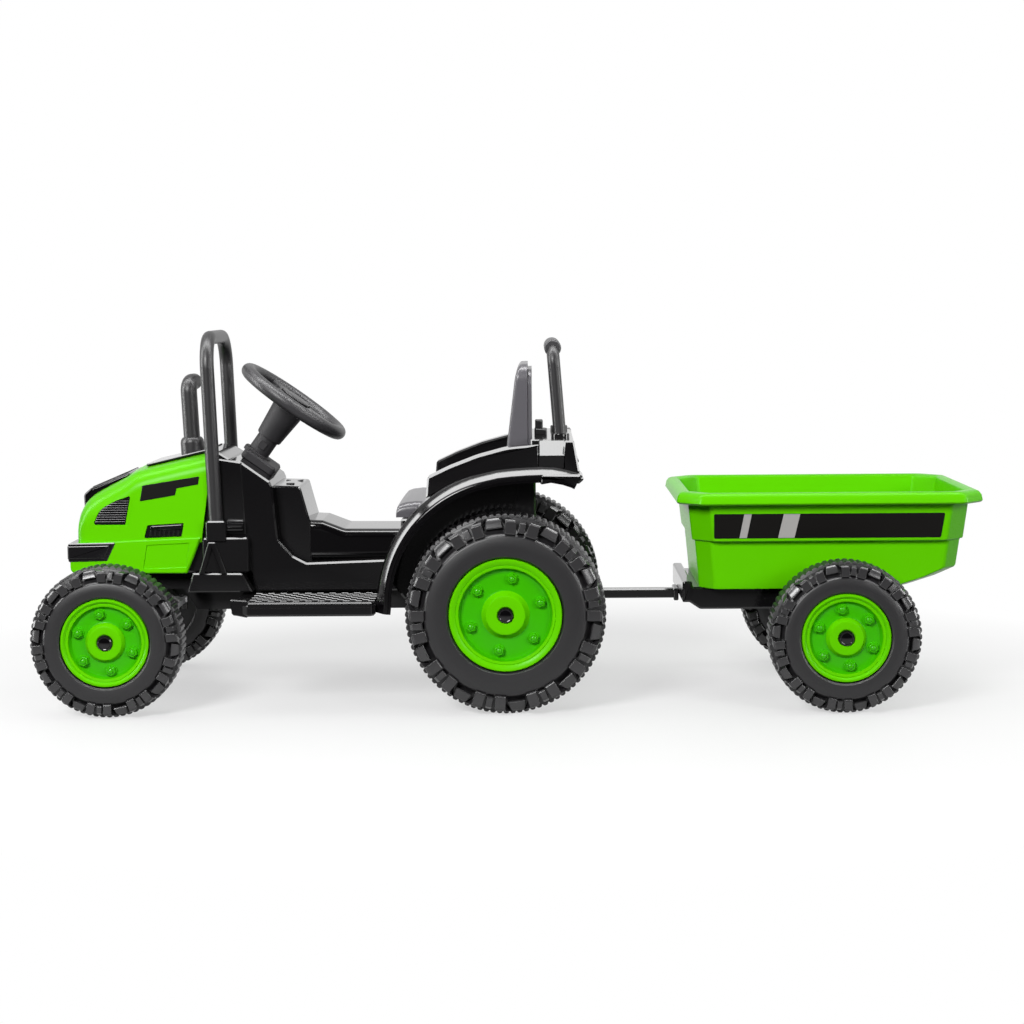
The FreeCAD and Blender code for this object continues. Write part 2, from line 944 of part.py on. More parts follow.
for side, word in ((-1, "left"), (1, "right")):
    near = d.gear_y if side > 0 else -d.gear_y - d.gear_width
    toothed = coded(f"gear_teeth_{word}", gear_solid, rear_x, near, d.large_radius)
    reach = (d.gear_y + d.gear_width, wheel_hub) if side > 0 else (-wheel_hub, -d.gear_y - d.gear_width)
    sleeve = rod(f"gear_dog_{word}", "Y", d.dog_radius, reach, x=rear_x, z=d.large_radius)
    bore = rod(f"gear_bore_{word}", "Y", d.rear_axle_radius + d.fit, reach, x=rear_x, z=d.large_radius)
    keep(f"drive_gear_{word}", fuse(f"gear_{word}", toothed, cut(f"gear_sleeve_{word}", sleeve, bore)))
    small = coded(f"pinion_teeth_{word}", pinion_solid, motor_x, near, motor_z)
    reach = (tray_face, d.gear_y) if side > 0 else (-d.gear_y, -tray_face)
    shaft = rod(f"pinion_shaft_{word}", "Y", d.shaft_radius, reach, x=motor_x, z=motor_z)
    keep(f"pinion_{word}", fuse(f"pinion_set_{word}", small, shaft))
    limits = (d.chassis_half, d.housing_outer) if side > 0 else (-d.housing_outer, -d.chassis_half)
    wall = d.housing_wall
    inner = (limits[0] + wall, limits[1] - wall)
    front, rear = rear_x - d.housing_front, rear_x + d.housing_rear
    low, high = d.large_radius - d.housing_half_z, d.large_radius + d.housing_half_z
    shell = box(f"housing_block_{word}", (front, rear), limits, (low, high))
    room = box(f"housing_room_{word}", (front + wall, rear - wall), inner, (low + wall, high - wall))
    axle_way = rod(f"housing_axle_{word}", "Y", d.rear_axle_radius, limits, x=rear_x, z=d.large_radius)
    outer_wall = (limits[1] - wall, limits[1]) if side > 0 else (limits[0], limits[0] + wall)
    inner_wall = (limits[0], limits[0] + wall) if side > 0 else (limits[1] - wall, limits[1])
    dog_way = rod(f"housing_dog_{word}", "Y", d.dog_radius + d.fit, outer_wall, x=rear_x, z=d.large_radius)
    shaft_way = rod(f"housing_shaft_{word}", "Y", d.shaft_radius + d.fit, inner_wall, x=motor_x, z=motor_z)
    keep(f"gearbox_{word}", cut(f"housing_{word}", shell, room, axle_way, dog_way, shaft_way))

motor = rod("motor_left", "Y", d.motor_radius, (-tray_face, d.motor_length - tray_face), x=motor_x, z=motor_z)
keep("drive_motors", pair("motor_pair", motor))

# Battery on the tray's floor, below the tunnel
battery_end = rear_x - d.battery_rear
battery_z = belly_z + d.chassis_wall
keep("battery", box("battery_block", (battery_end - d.battery_length, battery_end),
                    (-d.battery_half, d.battery_half), (battery_z, d.tunnel_z - d.battery_clear)))

# Front axle beam: saddle under the tray, forked ends for the kingpins
fork_low = d.lower_plate_z + d.lower_plate
fork_high = d.beam_top - d.beam_thick
web_end = d.web_y + d.web_thick
right_side = [
    (d.beam_saddle, d.nose_floor_z),
    (d.beam_saddle + d.beam_thick, d.beam_top),
    (d.plate_end, d.beam_top),
    (d.plate_end, fork_high),
    (web_end, fork_high),
    (web_end, fork_low),
    (d.plate_end, fork_low),
    (d.plate_end, d.lower_plate_z),
    (d.web_y, d.lower_plate_z),
    (d.web_y, fork_high),
]
left_side = [(-y, z) for y, z in reversed(right_side)]
beam = prism("beam_body", "YZ_Plane", right_side + left_side, (front_x - d.beam_half, front_x + d.beam_half))
pin_span = (d.lower_plate_z, d.beam_top)
beam_bores = [
    rod(f"beam_bore_{side}", "Z", d.kingpin_radius + d.fit, pin_span, x=front_x, y=side * d.kingpin_y)
    for side in (-1, 1)
]
keep("front_axle_beam", cut("beam_cut", beam, *beam_bores))
kingpin = fuse(
    "kingpin_left",
    rod("kingpin_shank", "Z", d.kingpin_radius, pin_span, x=front_x, y=-d.kingpin_y),
    rod("kingpin_cap", "Z", d.kingpin_head, (d.beam_top, d.beam_top + d.lower_plate), x=front_x,
        y=-d.kingpin_y))
keep("kingpins", pair("kingpin_pair", kingpin))

# Steering knuckles: boss on the kingpin, stub axle with its nut, and the arm to the tie rod
front_hub = hub_face(d.front_track, d.small_width)
front_end = axle_end(d.front_track, d.small_width)
boss_span = (fork_low + d.gap, fork_high - d.gap)
arm_span = (d.arm_z, d.arm_z + d.arm_thick)
tie_x = front_x + arm_length
knuckle_solid = fuse(
    "knuckle_solid",
    rod("knuckle_boss", "Z", d.knuckle_radius, boss_span, x=front_x, y=-d.kingpin_y),
    rod("knuckle_shoulder", "Y", d.spacer_radius, (-front_hub + d.gap, -d.kingpin_y), x=front_x,
        z=d.small_radius),
    rod("knuckle_stub", "Y", d.axle_radius, (-front_end, -d.kingpin_y), x=front_x, z=d.small_radius),
    box("knuckle_arm", (front_x, tie_x), (-d.kingpin_y - d.arm_half, d.arm_half - d.kingpin_y), arm_span),
    rod("knuckle_arm_end", "Z", d.eye_radius, arm_span, x=tie_x, y=-d.kingpin_y),
    rod("knuckle_arm_pin", "Z", d.arm_pin_radius, (arm_span[1], arm_span[1] + d.arm_pin_height), x=tie_x,
        y=-d.kingpin_y))
knuckle = cut("knuckle_cut", knuckle_solid,
              rod("knuckle_bore", "Z", d.kingpin_radius + d.fit, boss_span, x=front_x, y=-d.kingpin_y))
stub_nut = axle_nut("stub_nut", -1, d.front_track, d.small_width, front_x, d.small_radius, d.axle_radius)
left_knuckle = group("knuckle_left_set", knuckle, stub_nut)
keep("knuckle_left", left_knuckle)
keep("knuckle_right", mirrored("knuckle_right_set", left_knuckle))

# Tie rod between the knuckle arms, with a slotted plate for the steering crank's pin
tie_span = (tie_z, tie_z + d.tie_thick)
tie_solid = fuse(
    "tie_solid",
    box("tie_bar", (tie_x - d.tie_half, tie_x + d.tie_half), (-d.kingpin_y, d.kingpin_y), tie_span),
    box("tie_plate", (tie_x - d.tie_plate_half, tie_x + d.tie_plate_half),
        (-d.tie_plate_half, d.tie_plate_half), tie_span),
    rod("tie_eye_left", "Z", d.eye_radius, tie_span, x=tie_x, y=-d.kingpin_y),
    rod("tie_eye_right", "Z", d.eye_radius, tie_span, x=tie_x, y=d.kingpin_y))
tie_cuts = [
    rod(f"tie_hole_{side}", "Z", d.arm_pin_radius + d.fit, tie_span, x=tie_x, y=side * d.kingpin_y)
    for side in (-1, 1)
]
tie_cuts.append(box("tie_slot", (tie_x - d.slot_half_x, tie_x + d.slot_half_x),
                    (-d.slot_half_y, d.slot_half_y), tie_span))
keep("tie_rod", cut("tie_cut", tie_solid, *tie_cuts))


# Steering column: pieces are drawn along Z with the steering wheel's centre at zero

def column_rod(name, radius, ends, x=0):
    return rod(name, "Z", radius, ends, x=x)


crank_span = (-column_length - d.crank_thick / 2, d.crank_thick / 2 - column_length)
column_solid = fuse(
    "column_solid",
    column_rod("column_tube", d.column_tube, (-d.tube_end, -d.tube_top)),
    column_rod("column_shaft", d.column_radius, (-column_length, -d.tube_end)),
    column_rod("crank_boss", d.crank_half, crank_span),
    column_rod("crank_end", d.crank_half, crank_span, x=d.crank_radius),
    box("crank_arm", (0, d.crank_radius), (-d.crank_half, d.crank_half), crank_span),
    column_rod("crank_pin", d.crank_pin_radius, (-column_length - d.crank_pin, -column_length),
               x=d.crank_radius))
keep("steering_column", at_column(column_solid))

ring = doc.addObject("Part::Torus", "steer_ring")
bind(ring, "Radius1", d.ring_radius)
bind(ring, "Radius2", d.ring_tube)
hub_span = (-d.hub_floor, d.hub_top)
spokes = []
for turn in (0, 120, 240):
    spoke = box(f"spoke_{turn}", (0, d.ring_radius), (-d.spoke_half, d.spoke_half),
                (-d.spoke_thick / 2, d.spoke_thick / 2))
    arm = doc.addObject("Part::Compound", f"spoke_turned_{turn}")
    arm.Links = [spoke]
    arm.Placement = Placement(Vector(), Rotation(AXIS["Z"], turn))
    spokes.append(arm)
wheel_solid = fuse(
    "steer_solid", ring,
    column_rod("steer_hub", d.hub_disc, hub_span),
    column_rod("steer_sleeve", d.sleeve_radius, (-d.sleeve_end, -d.hub_floor)),
    *spokes)
pad_room = d.pad_thick + d.pad_travel
pad_floor = d.hub_top + d.gap - pad_room
steer_cuts = [
    column_rod("steer_tube_bore", d.column_tube + d.fit, (-d.sleeve_end, -d.tube_top)),
    column_rod("steer_pad_room", d.pad_radius + d.gap, (pad_floor, d.hub_top + d.ring_tube)),
    column_rod("steer_stem_bore", d.column_radius + d.fit, (-d.tube_top, pad_floor)),
]
keep("steering_wheel", at_column(cut("steer_cut", wheel_solid, *steer_cuts)))
pad_bottom = pad_floor + d.pad_travel
horn = fuse(
    "horn_solid",
    column_rod("horn_disc", d.pad_radius, (pad_bottom, pad_bottom + d.pad_thick)),
    column_rod("horn_stem", d.column_radius, (pad_bottom - d.pad_stem, pad_bottom)))
keep("horn_pad", at_column(horn))

collar = cut(
    "collar_cut",
    box("collar_body", (-d.collar_front, d.collar_rear), (-d.collar_half, d.collar_half),
        (-dash_depth, -d.tube_end - d.gap)),
    column_rod("collar_bore", d.column_radius + d.fit, (-dash_depth, -d.tube_end)))
keep("column_collar", at_column(collar))

# Bonnet: one rounded shell, open below and behind
bonnet_back = front_x + d.bonnet_back_x
bonnet_part = front_x + d.bonnet_part_x
kink = front_x + d.kink_x
nose = front_x - d.nose_x
bonnet_across = (-d.bonnet_half, d.bonnet_half)


def along_side(edge):
    """Edges of a prism's two flat sides."""
    return edge.BoundBox.YLength < 0.01


def bonnet_ridge(edge):
    """The long edges along the top and the upright corners of the nose."""
    box_of_edge = edge.BoundBox
    lengthwise = box_of_edge.XLength > SIZES["bonnet_wall"] * 2
    upper = lengthwise and box_of_edge.ZMin > SIZES["nose_z"] - SIZES["bonnet_wall"] * 2
    upright = edge.CenterOfMass.x < nose.value + SIZES["bonnet_wall"] * 2
    return along_side(edge) and (upper or upright)


def bonnet_form(name, inset):
    """Rounded bonnet block, drawn in by a wall everywhere but below and behind."""
    body = prism(name, "XZ_Plane", [
        (nose + inset, d.nose_z - inset),
        (front_x - d.nose_foot_x + inset, d.parting_z),
        (bonnet_part, d.parting_z),
        (bonnet_back, d.bonnet_back_z),
        (bonnet_back, d.bonnet_rear_z - inset),
        (kink + inset / 2, d.kink_z - inset),
    ], (inset - d.bonnet_half, d.bonnet_half - inset))
    add_fillet(body, name + "_rounding", d.bonnet_round - inset, bonnet_ridge)
    return body


bonnet_outside = bonnet_form("bonnet_outside", as_size(0))
bonnet_inside = bonnet_form("bonnet_inside", d.bonnet_wall)
keep("bonnet", cut("bonnet_shell", bonnet_outside, bonnet_inside))

# Lower nose: a tray open above and behind, with corner windows for the headlamps
bumper_front = front_x - d.bumper_x
bumper_rear = front_x + d.bumper_rear_x
bumper = prism("bumper_body", "XZ_Plane", [
    (front_x - d.nose_foot_x, d.parting_z),
    (front_x - d.nose_foot_x, d.bumper_z),
    (bumper_front, d.bumper_z),
    (bumper_front, d.chassis_top),
    (bumper_rear, d.chassis_top),
    (bonnet_part, d.parting_z),
], bonnet_across)


def bumper_open(face):
    above = face.BoundBox.ZMin > SIZES["parting_z"] - 0.1
    return above or face.BoundBox.XMin > bumper_rear.value - 1


hollow(bumper, "bumper_shell", d.bonnet_wall, bumper_open)


def lamp_block(name, spare):
    """Slanted lamp block at the left front corner, grown by a clearance."""
    rear = front_x - d.lamp_rear + spare
    return prism(name, "XZ_Plane", [
        (bumper_front - spare, d.lamp_top + spare),
        (bumper_front - spare, d.lamp_bottom - spare),
        (rear - d.lamp_slant, d.lamp_bottom - spare),
        (rear, d.lamp_top + spare),
    ], (-d.bonnet_half - d.lamp_proud, spare - d.lamp_inner))


lamp = lamp_block("lamp_left", as_size(0))
lamp_window = lamp_block("lamp_window_left", d.gap)
rod_way = box("bumper_rod_way", (front_x + d.crank_x, bumper_rear), (-d.lamp_inner / 2, d.lamp_inner / 2),
              (d.chassis_top, d.chassis_top + d.bonnet_wall))
right_window = mirrored("lamp_window_right", lamp_window)
keep("front_bumper", cut("bumper_cut", bumper, lamp_window, right_window, rod_way))
keep("headlights", pair("lamp_pair", lamp))

# Raised trims along the bonnet's nose and top
trim_across = (-d.trim_half, d.trim_half)
top_slope = (d.bonnet_rear_z - d.kink_z) / (d.bonnet_back_x - d.kink_x)
top_start = front_x + d.trim_front_x
top_end = bonnet_back


def top_height(x):
    return d.kink_z + (x - kink) * top_slope


keep("nose_grille", prism("nose_grille_body", "XZ_Plane", [
    (nose, d.nose_z),
    (kink, d.kink_z),
    (kink, d.kink_z + d.trim_thick),
    (nose, d.nose_z + d.trim_thick),
], trim_across))
keep("bonnet_top_trim", prism("top_trim_body", "XZ_Plane", [
    (top_start, top_height(top_start)),
    (top_end, top_height(top_end)),
    (top_end, top_height(top_end) + d.trim_thick),
    (top_start, top_height(top_start) + d.trim_thick),
], trim_across))

# Side vents and engine louvres, flat on the bonnet's flanks
flank = (-d.bonnet_half - d.vent_thick, -d.bonnet_half)
vent_front = front_x - d.vent_front_x
vent_rear = vent_front + d.vent_length
keep("side_vents", pair("vent_pair", prism("vent_left", "XZ_Plane", [
    (vent_front, d.vent_foot_z, d.vent_length),
    (vent_rear, d.vent_foot_z),
    (vent_rear, d.vent_foot_z + d.vent_height),
], flank)))
louvre_front = front_x + d.louvre_front_x
louvre_rear = louvre_front + d.louvre_length
louvre_top = d.louvre_z + d.louvre_height
keep("engine_louvres", pair("louvre_pair", prism("louvre_left", "XZ_Plane", [
    (louvre_front, d.louvre_z),
    (louvre_rear, d.louvre_z),
    (louvre_rear + d.louvre_slant, louvre_top),
    (louvre_front + d.louvre_slant, louvre_top),
], flank)))

# Exhaust: a collar on the top trim and a stack with a short elbow towards the right
exhaust_x = front_x + d.exhaust_x
collar_low = top_height(exhaust_x - d.exhaust_collar) + d.trim_thick
collar_blank = rod("exhaust_collar_blank", "Z", d.exhaust_collar, (collar_low, d.exhaust_collar_top),
                   x=exhaust_x)
below_trim = prism("below_trim", "XZ_Plane", [
    (top_start, d.kink_z),
    (top_end, d.kink_z),
    (top_end, top_height(top_end) + d.trim_thick),
    (top_start, top_height(top_start) + d.trim_thick),
], trim_across)
keep("exhaust_base", cut("exhaust_collar", collar_blank, below_trim))


def piped(name, radius, route, plane="YZ_Plane"):
    """Round bar along a route that starts upwards from the XY plane."""
    body = new_body(name)
    path = draw_outline(new_sketch(body, name + "_route", plane), route, closed=False)
    section = draw_circle(new_sketch(body, name + "_section", "XY_Plane"), 0, route[0][0], radius)
    pipe = body.newObject("PartDesign::AdditivePipe", name + "_pipe")
    pipe.Profile = section
    pipe.Spine = (path, [])
    body.Tip = pipe
    return body


def hoop(name, half, height, bend, radius):
    """Bar bent to an upside-down U, standing on the XY plane."""
    lift = height - radius - bend
    reach = half - bend
    return piped(name, radius, [
        (-half, 0),
        (-half, lift),
        (-reach, lift + bend, -bend),
        (reach, lift + bend),
        (half, lift, -bend),
        (half, 0),
    ])


bend_height = d.exhaust_bend_z - d.exhaust_collar_top
stack_route = [
    (as_size(0), 0),
    (0, bend_height),
    (d.exhaust_bend, bend_height + d.exhaust_bend, -d.exhaust_bend),
    (d.exhaust_bend + d.exhaust_mouth, bend_height + d.exhaust_bend),
]
stack = piped("stack_bar", d.exhaust_radius, stack_route)
stack_mouth = rod("stack_mouth", "Y", d.exhaust_bore, (d.exhaust_bend, d.exhaust_bend + d.exhaust_mouth),
                  z=bend_height + d.exhaust_bend)
keep("exhaust_stack", place(cut("stack_cut", stack, stack_mouth), exhaust_x, 0, d.exhaust_collar_top))

# Roll bar with its clamp knobs
roll_x = front_x + d.roll_x


def at_roll(thing, y=0):
    """Put a piece drawn along Z on the roll bar's leaning posts; zero is the bar's foot."""
    thing.Placement = Placement(Vector(), Rotation(AXIS["Y"], -SIZES["roll_lean"]))
    return place(thing, roll_x, y, d.roll_foot)


roll_bar = hoop("roll_bar_hoop", d.roll_y, d.roll_top - d.roll_foot, d.roll_bend, d.roll_radius)
keep("roll_bar", at_roll(roll_bar))
socket_rear = roll_x + d.socket_half
knob = rod("knob_left", "X", d.knob_radius, (socket_rear, socket_rear + d.knob_length), y=-d.roll_y,
           z=d.knob_z)
keep("roll_bar_knobs", pair("knob_pair", knob))

# Cowl: wide front shell with the slanted dash, narrower console and tunnel, side rails, bar sockets
dash_x = front_x + d.dash_x
dash_end = front_x + d.dash_end_x
cowl_front = prism("cowl_front", "XZ_Plane", [
    (bumper_rear + d.cowl_gap, d.chassis_top),
    (dash_end, d.chassis_top),
    (dash_end, dash_end_z),
    (dash_x, d.dash_z),
    (bonnet_back + d.cowl_gap, d.bonnet_rear_z),
    (bonnet_back + d.cowl_gap, d.bonnet_back_z),
    (bonnet_part + d.cowl_gap, d.parting_z),
], (-d.cowl_half, d.cowl_half))


def dash_corner(edge):
    return along_side(edge) and edge.BoundBox.XMin > dash_end.value - 0.1


add_fillet(cowl_front, "dash_corners", d.dash_corner, dash_corner)


def cowl_open(face):
    below = face.BoundBox.ZMax < SIZES["chassis_top"] + 0.1
    return below or face.BoundBox.XMax < bonnet_back.value + 1


hollow(cowl_front, "cowl_front_shell", d.cowl_wall, cowl_open)
console_end = front_x + d.console_end_x
console_foot = front_x + d.console_foot_x
tunnel_front = front_x + d.tunnel_front_x
console = prism("console_body", "XZ_Plane", [
    (dash_end, d.chassis_top),
    (seat_front, d.chassis_top),
    (seat_front, d.tunnel_z),
    (tunnel_front, d.tunnel_z),
    (console_foot, d.console_foot_z),
    (console_end, d.console_z),
    (dash_end, d.console_z),
], (-d.console_half, d.console_half))


def console_open(face):
    below = face.BoundBox.ZMax < SIZES["chassis_top"] + 0.1
    behind = face.BoundBox.XMin > seat_front.value - 0.1
    return below or behind or face.BoundBox.XMax < dash_end.value + 0.1


hollow(console, "console_shell", d.cowl_wall, console_open)
rail_high = (d.chassis_top, d.rail_top)
socket_y = (-d.roll_y - d.socket_half, -d.cowl_half)
rail_y = (-d.rail_half, -d.rail_inner)
left_rail = box("rail_left", (dash_end, seat_front), rail_y, rail_high)
front_rail = box("front_rail_left", (bonnet_part + d.cowl_gap, dash_end), rail_y, rail_high)
socket_front = roll_x - d.socket_half
left_socket = box("socket_left", (socket_front, socket_rear), socket_y, (d.chassis_top, d.socket_top))
left_foot = box("foot_left", (socket_front, roll_x + d.foot_block_x), socket_y,
                (d.chassis_top, d.foot_block_z))
left_skirt = box("skirt_left", (front_x + d.step_front_x, seat_front),
                 (-d.rail_half, d.skirt_wall - d.rail_half),
                 (d.step_top - d.step_ledge + d.gap, d.rail_top))
left_side = [left_rail, front_rail, left_socket, left_foot, left_skirt]
right_side = [mirrored(solid.Name + "_twin", solid) for solid in left_side]
cowl_solid = fuse("cowl_solid", cowl_front, console, *left_side, *right_side)
dash_hole = at_column(column_rod("dash_hole", d.column_radius + d.gap, (0, d.collar_half)),
                      dash_depth + d.collar_half)
rocker_x = front_x + d.rocker_x
wall_low = d.console_z - d.cowl_wall
rocker_z = d.console_z - d.cowl_wall / 2
room_x = d.rocker_length + 2 * d.gap
room_y = d.rocker_half + d.gap
bore_y = d.rocker_pin_end + d.gap
rocker_room = box("rocker_room", (rocker_x - room_x, rocker_x + room_x),
                  (d.rocker_y - room_y, d.rocker_y + room_y), (wall_low, d.console_z))
rocker_bore = rod("rocker_bore", "Y", d.rocker_pin + d.fit, (-bore_y, bore_y),
                  x=rocker_x, y=d.rocker_y, z=rocker_z)
button_hole = rod("button_hole", "Z", d.button_radius + d.fit, (wall_low, d.console_z),
                  x=rocker_x, y=-d.button_y)
bar_bores = [
    at_roll(rod(f"bar_bore_{side}", "Z", d.roll_radius + d.fit, (0, d.socket_top)), side * d.roll_y)
    for side in (-1, 1)
]
keep("cowl", cut("cowl_cut", cowl_solid, dash_hole, rocker_room, rocker_bore, button_hole, *bar_bores))

# Console switches: a rocker for the direction and a round push button
rise = d.rocker_rise
rocker_solid = prism("rocker_body", "XZ_Plane", [
    (-d.rocker_length, 0),
    (-d.rocker_length / 2, -rise),
    (d.rocker_length / 2, -rise),
    (d.rocker_length, 0),
    (d.rocker_length, rise),
    (0, rise / 2),
    (-d.rocker_length, rise),
], (-d.rocker_half, d.rocker_half))
rocker = fuse("rocker_set", rocker_solid,
              rod("rocker_pin", "Y", d.rocker_pin, (-d.rocker_pin_end, d.rocker_pin_end)))
keep("direction_switch", place(rocker, rocker_x, d.rocker_y, rocker_z))
flange_top = wall_low - d.gap
button = fuse(
    "button_set",
    rod("button_stem", "Z", d.button_radius, (flange_top, d.console_z + d.button_rise), x=rocker_x,
        y=-d.button_y),
    rod("button_plate", "Z", d.button_flange, (flange_top - d.button_drop / 2, flange_top), x=rocker_x,
        y=-d.button_y))
keep("power_button", button)

# Seat box: carries the seat, the backrest and the rear deck with the handle's sockets
tail = rear_x + d.tail_x
deck = rear_x + d.deck_x
box_across = (-d.seat_box_half, d.seat_box_half)
seat_box = prism("seat_box_body", "XZ_Plane", [
    (seat_front, d.chassis_top),
    (tail, d.chassis_top),
    (tail, tail_z),
    (rear_x + d.deck_tail, deck_z),
    (deck, deck_z),
    (deck, d.seat_z),
    (seat_front, d.seat_z),
], box_across)
hollow(seat_box, "seat_box_shell", d.seat_box_wall,
       lambda face: face.BoundBox.ZMax < SIZES["chassis_top"] + 0.1)
cross_y = (d.seat_box_wall - d.seat_box_half, d.seat_box_half - d.seat_box_wall)
cross_z = (d.chassis_top, d.chassis_top + d.rail_thick)
front_cross = box("seat_rail_front", (seat_front, seat_front + d.rail_length), cross_y, cross_z)
rear_web = box("seat_web", (deck - d.seat_box_wall, deck), (-d.chassis_half, d.chassis_half),
               (d.chassis_top, d.seat_z))


def at_handle(thing, y=0, along=0):
    """Put a piece drawn along Z on the handle's leaning posts; zero is the deck's surface."""
    thing.Placement = Placement(Vector(), Rotation(AXIS["Y"], -SIZES["handle_lean"]))
    return place(thing, rear_x + d.handle_x, y, deck_z + along)


bosses = [
    at_handle(rod(f"handle_boss_{side}", "Z", d.handle_boss, (-d.handle_depth, 0)), side * d.handle_y,
              -d.handle_depth)
    for side in (-1, 1)
]
sockets = [
    at_handle(rod(f"handle_socket_{side}", "Z", d.handle_radius + d.fit, (0, 2 * d.handle_depth)),
              side * d.handle_y, -d.handle_depth)
    for side in (-1, 1)
]
above_deck = box("above_deck", (deck, tail), box_across, (deck_z, deck_z + d.handle_rise))
below_tail = box("below_tail", (deck + d.seat_box_wall, tail), box_across,
                 (d.chassis_top, roof_z - d.tail_under))
seat_box_solid = fuse("seat_box_solid", seat_box, front_cross, rear_web, *bosses)
keep("seat_box", cut("seat_box_cut", seat_box_solid, above_deck, below_tail, *sockets))
handle_height = d.handle_rise + d.handle_depth
handle = hoop("handle_hoop", d.handle_y, handle_height, d.handle_bend, d.handle_radius)
keep("rear_handle", at_handle(handle, along=-d.handle_depth))

# Seat pan and backrest
back_x = rear_x - d.back_foot
seat = prism("seat_body", "XZ_Plane", [
    (rear_x - d.seat_lip_x, d.seat_z),
    (back_x + d.back_thick, d.seat_z),
    (back_x + d.back_thick, d.seat_dip_z),
    (back_x, d.seat_dip_z),
    (rear_x - d.seat_crest_x, d.seat_crest_z),
    (rear_x - d.seat_lip_x, d.seat_lip_z),
], (-d.seat_half, d.seat_half))
hollow(seat, "seat_shell", d.seat_wall, lambda face: face.BoundBox.ZMax < SIZES["seat_z"] + 0.1)
keep("seat", seat)


def backrest_form(name, inset):
    """Leaning back with rounded upper corners, drawn in by a wall everywhere but below."""
    rear = back_x + d.back_thick - inset
    half = d.back_half - inset
    crown = d.back_top - inset
    bend = d.back_round - inset
    profile = prism(name + "_profile", "XZ_Plane", [
        (back_x + inset, d.seat_dip_z),
        (rear, d.seat_dip_z),
        (rear, crown - d.back_lean / 2),
        (back_x + d.back_lean + d.back_thick / 2, crown),
        (back_x + d.back_lean + inset, crown - d.back_lean),
    ], (-half, half))
    face = prism(name + "_face", "YZ_Plane", [
        (-half, d.seat_dip_z),
        (half, d.seat_dip_z),
        (half, crown - bend),
        (half - bend, crown, bend),
        (bend - half, crown),
        (-half, crown - bend, bend),
    ], (back_x, back_x + d.back_thick))
    common = doc.addObject("Part::MultiCommon", name)
    common.Shapes = [profile, face]
    return common


backrest_outside = backrest_form("backrest_outside", as_size(0))
backrest_inside = backrest_form("backrest_inside", d.seat_wall)
keep("backrest", cut("backrest_shell", backrest_outside, backrest_inside))

# Fenders: arch band over the wheel, inner wall, armrest and tail block
arch_x = rear_x + d.arch_x
arch_in = d.large_radius + d.arch_clear
arch_radius = arch_in + d.arch_thick
arch_z = d.large_radius + d.arch_lift
roof_x = rear_x + d.roof_x
arch_top = rear_x - d.arch_top_x
reach_out = arch_x - arch_top
arch_top_z = arch_z + root(arch_radius * arch_radius - reach_out * reach_out)
under_top_z = arch_z + root(arch_in * arch_in - reach_out * reach_out)
inner_y = -d.seat_box_half
outer_y = -d.fender_outer
fender = new_body("fender_body")
add_pad(fender, "arch_band", "XZ_Plane", [
    (arch_x - arch_radius, arch_z, arch_radius),
    (arch_x - arch_in, arch_z),
    (arch_top, under_top_z, -arch_in),
    (roof_x, roof_z - d.roof_thick),
    (tail, roof_z - d.roof_thick),
    (tail, tail_z),
    (roof_x, roof_z),
    (arch_top, arch_top_z),
], (outer_y, inner_y))
wall_reach = d.fender_wall_z - arch_z
wall_start = arch_x - root(arch_in * arch_in - wall_reach * wall_reach)
add_pad(fender, "fender_wall", "XZ_Plane", [
    (wall_start, d.fender_wall_z, arch_in),
    (deck, d.fender_wall_z),
    (deck, roof_z - d.roof_thick),
    (arch_top, under_top_z),
], (inner_y - d.fender_wall, inner_y))
arm_front_z = roof_z - d.arm_front_drop
armrest = [
    (rear_x - d.arm_front_x, arm_front_z),
    (arch_top, arch_top_z - d.arch_thick / 2, -arch_radius),
    (roof_x, roof_z - d.arch_thick / 2),
    (roof_x, roof_z + d.arm_rear_rise),
    (rear_x - d.arm_mid_x, roof_z + d.arm_mid_rise),
    (rear_x - d.arm_front_x, arm_front_z + d.arm_front_high),
]
add_pad(fender, "armrest", "XZ_Plane", armrest, (-d.arm_y, inner_y))
add_pad(fender, "tail_block", "XZ_Plane", [
    (roof_x, roof_z - d.roof_thick / 2),
    (tail, tail_z - d.roof_thick / 4),
    (rear_x + d.deck_tail, deck_z),
    (roof_x, deck_z),
], (-d.arm_y, inner_y))
keep("fender_left", fender)
keep("fender_right", mirrored("fender_twin", fender))

# Running boards on the tray's flanks, with an inner ledge under the skirts
step_front = front_x + d.step_front_x
step_rear = rear_x + d.arch_x - arch_radius - d.step_clear
step_low = d.step_top - d.step_thick
ledge_y = -d.rail_half - d.gap
ledge_z = d.step_top - d.step_ledge
step = prism("step_body", "YZ_Plane", [
    (-d.chassis_half, step_low),
    (-d.chassis_half, ledge_z),
    (ledge_y, ledge_z),
    (ledge_y, d.step_top),
    (-d.step_outer, d.step_top),
    (-d.step_outer, step_low),
], (step_front, step_rear))


def step_corner(edge):
    upright = edge.BoundBox.ZLength > SIZES["step_thick"] - 0.1
    return upright and edge.CenterOfMass.y < -SIZES["chassis_half"] - 1


add_fillet(step, "step_corners", d.step_thick / 2, step_corner)
hollow(step, "step_shell", d.step_wall, lambda face: face.BoundBox.ZMax < step_low.value + 0.1)
keep("step_left", step)

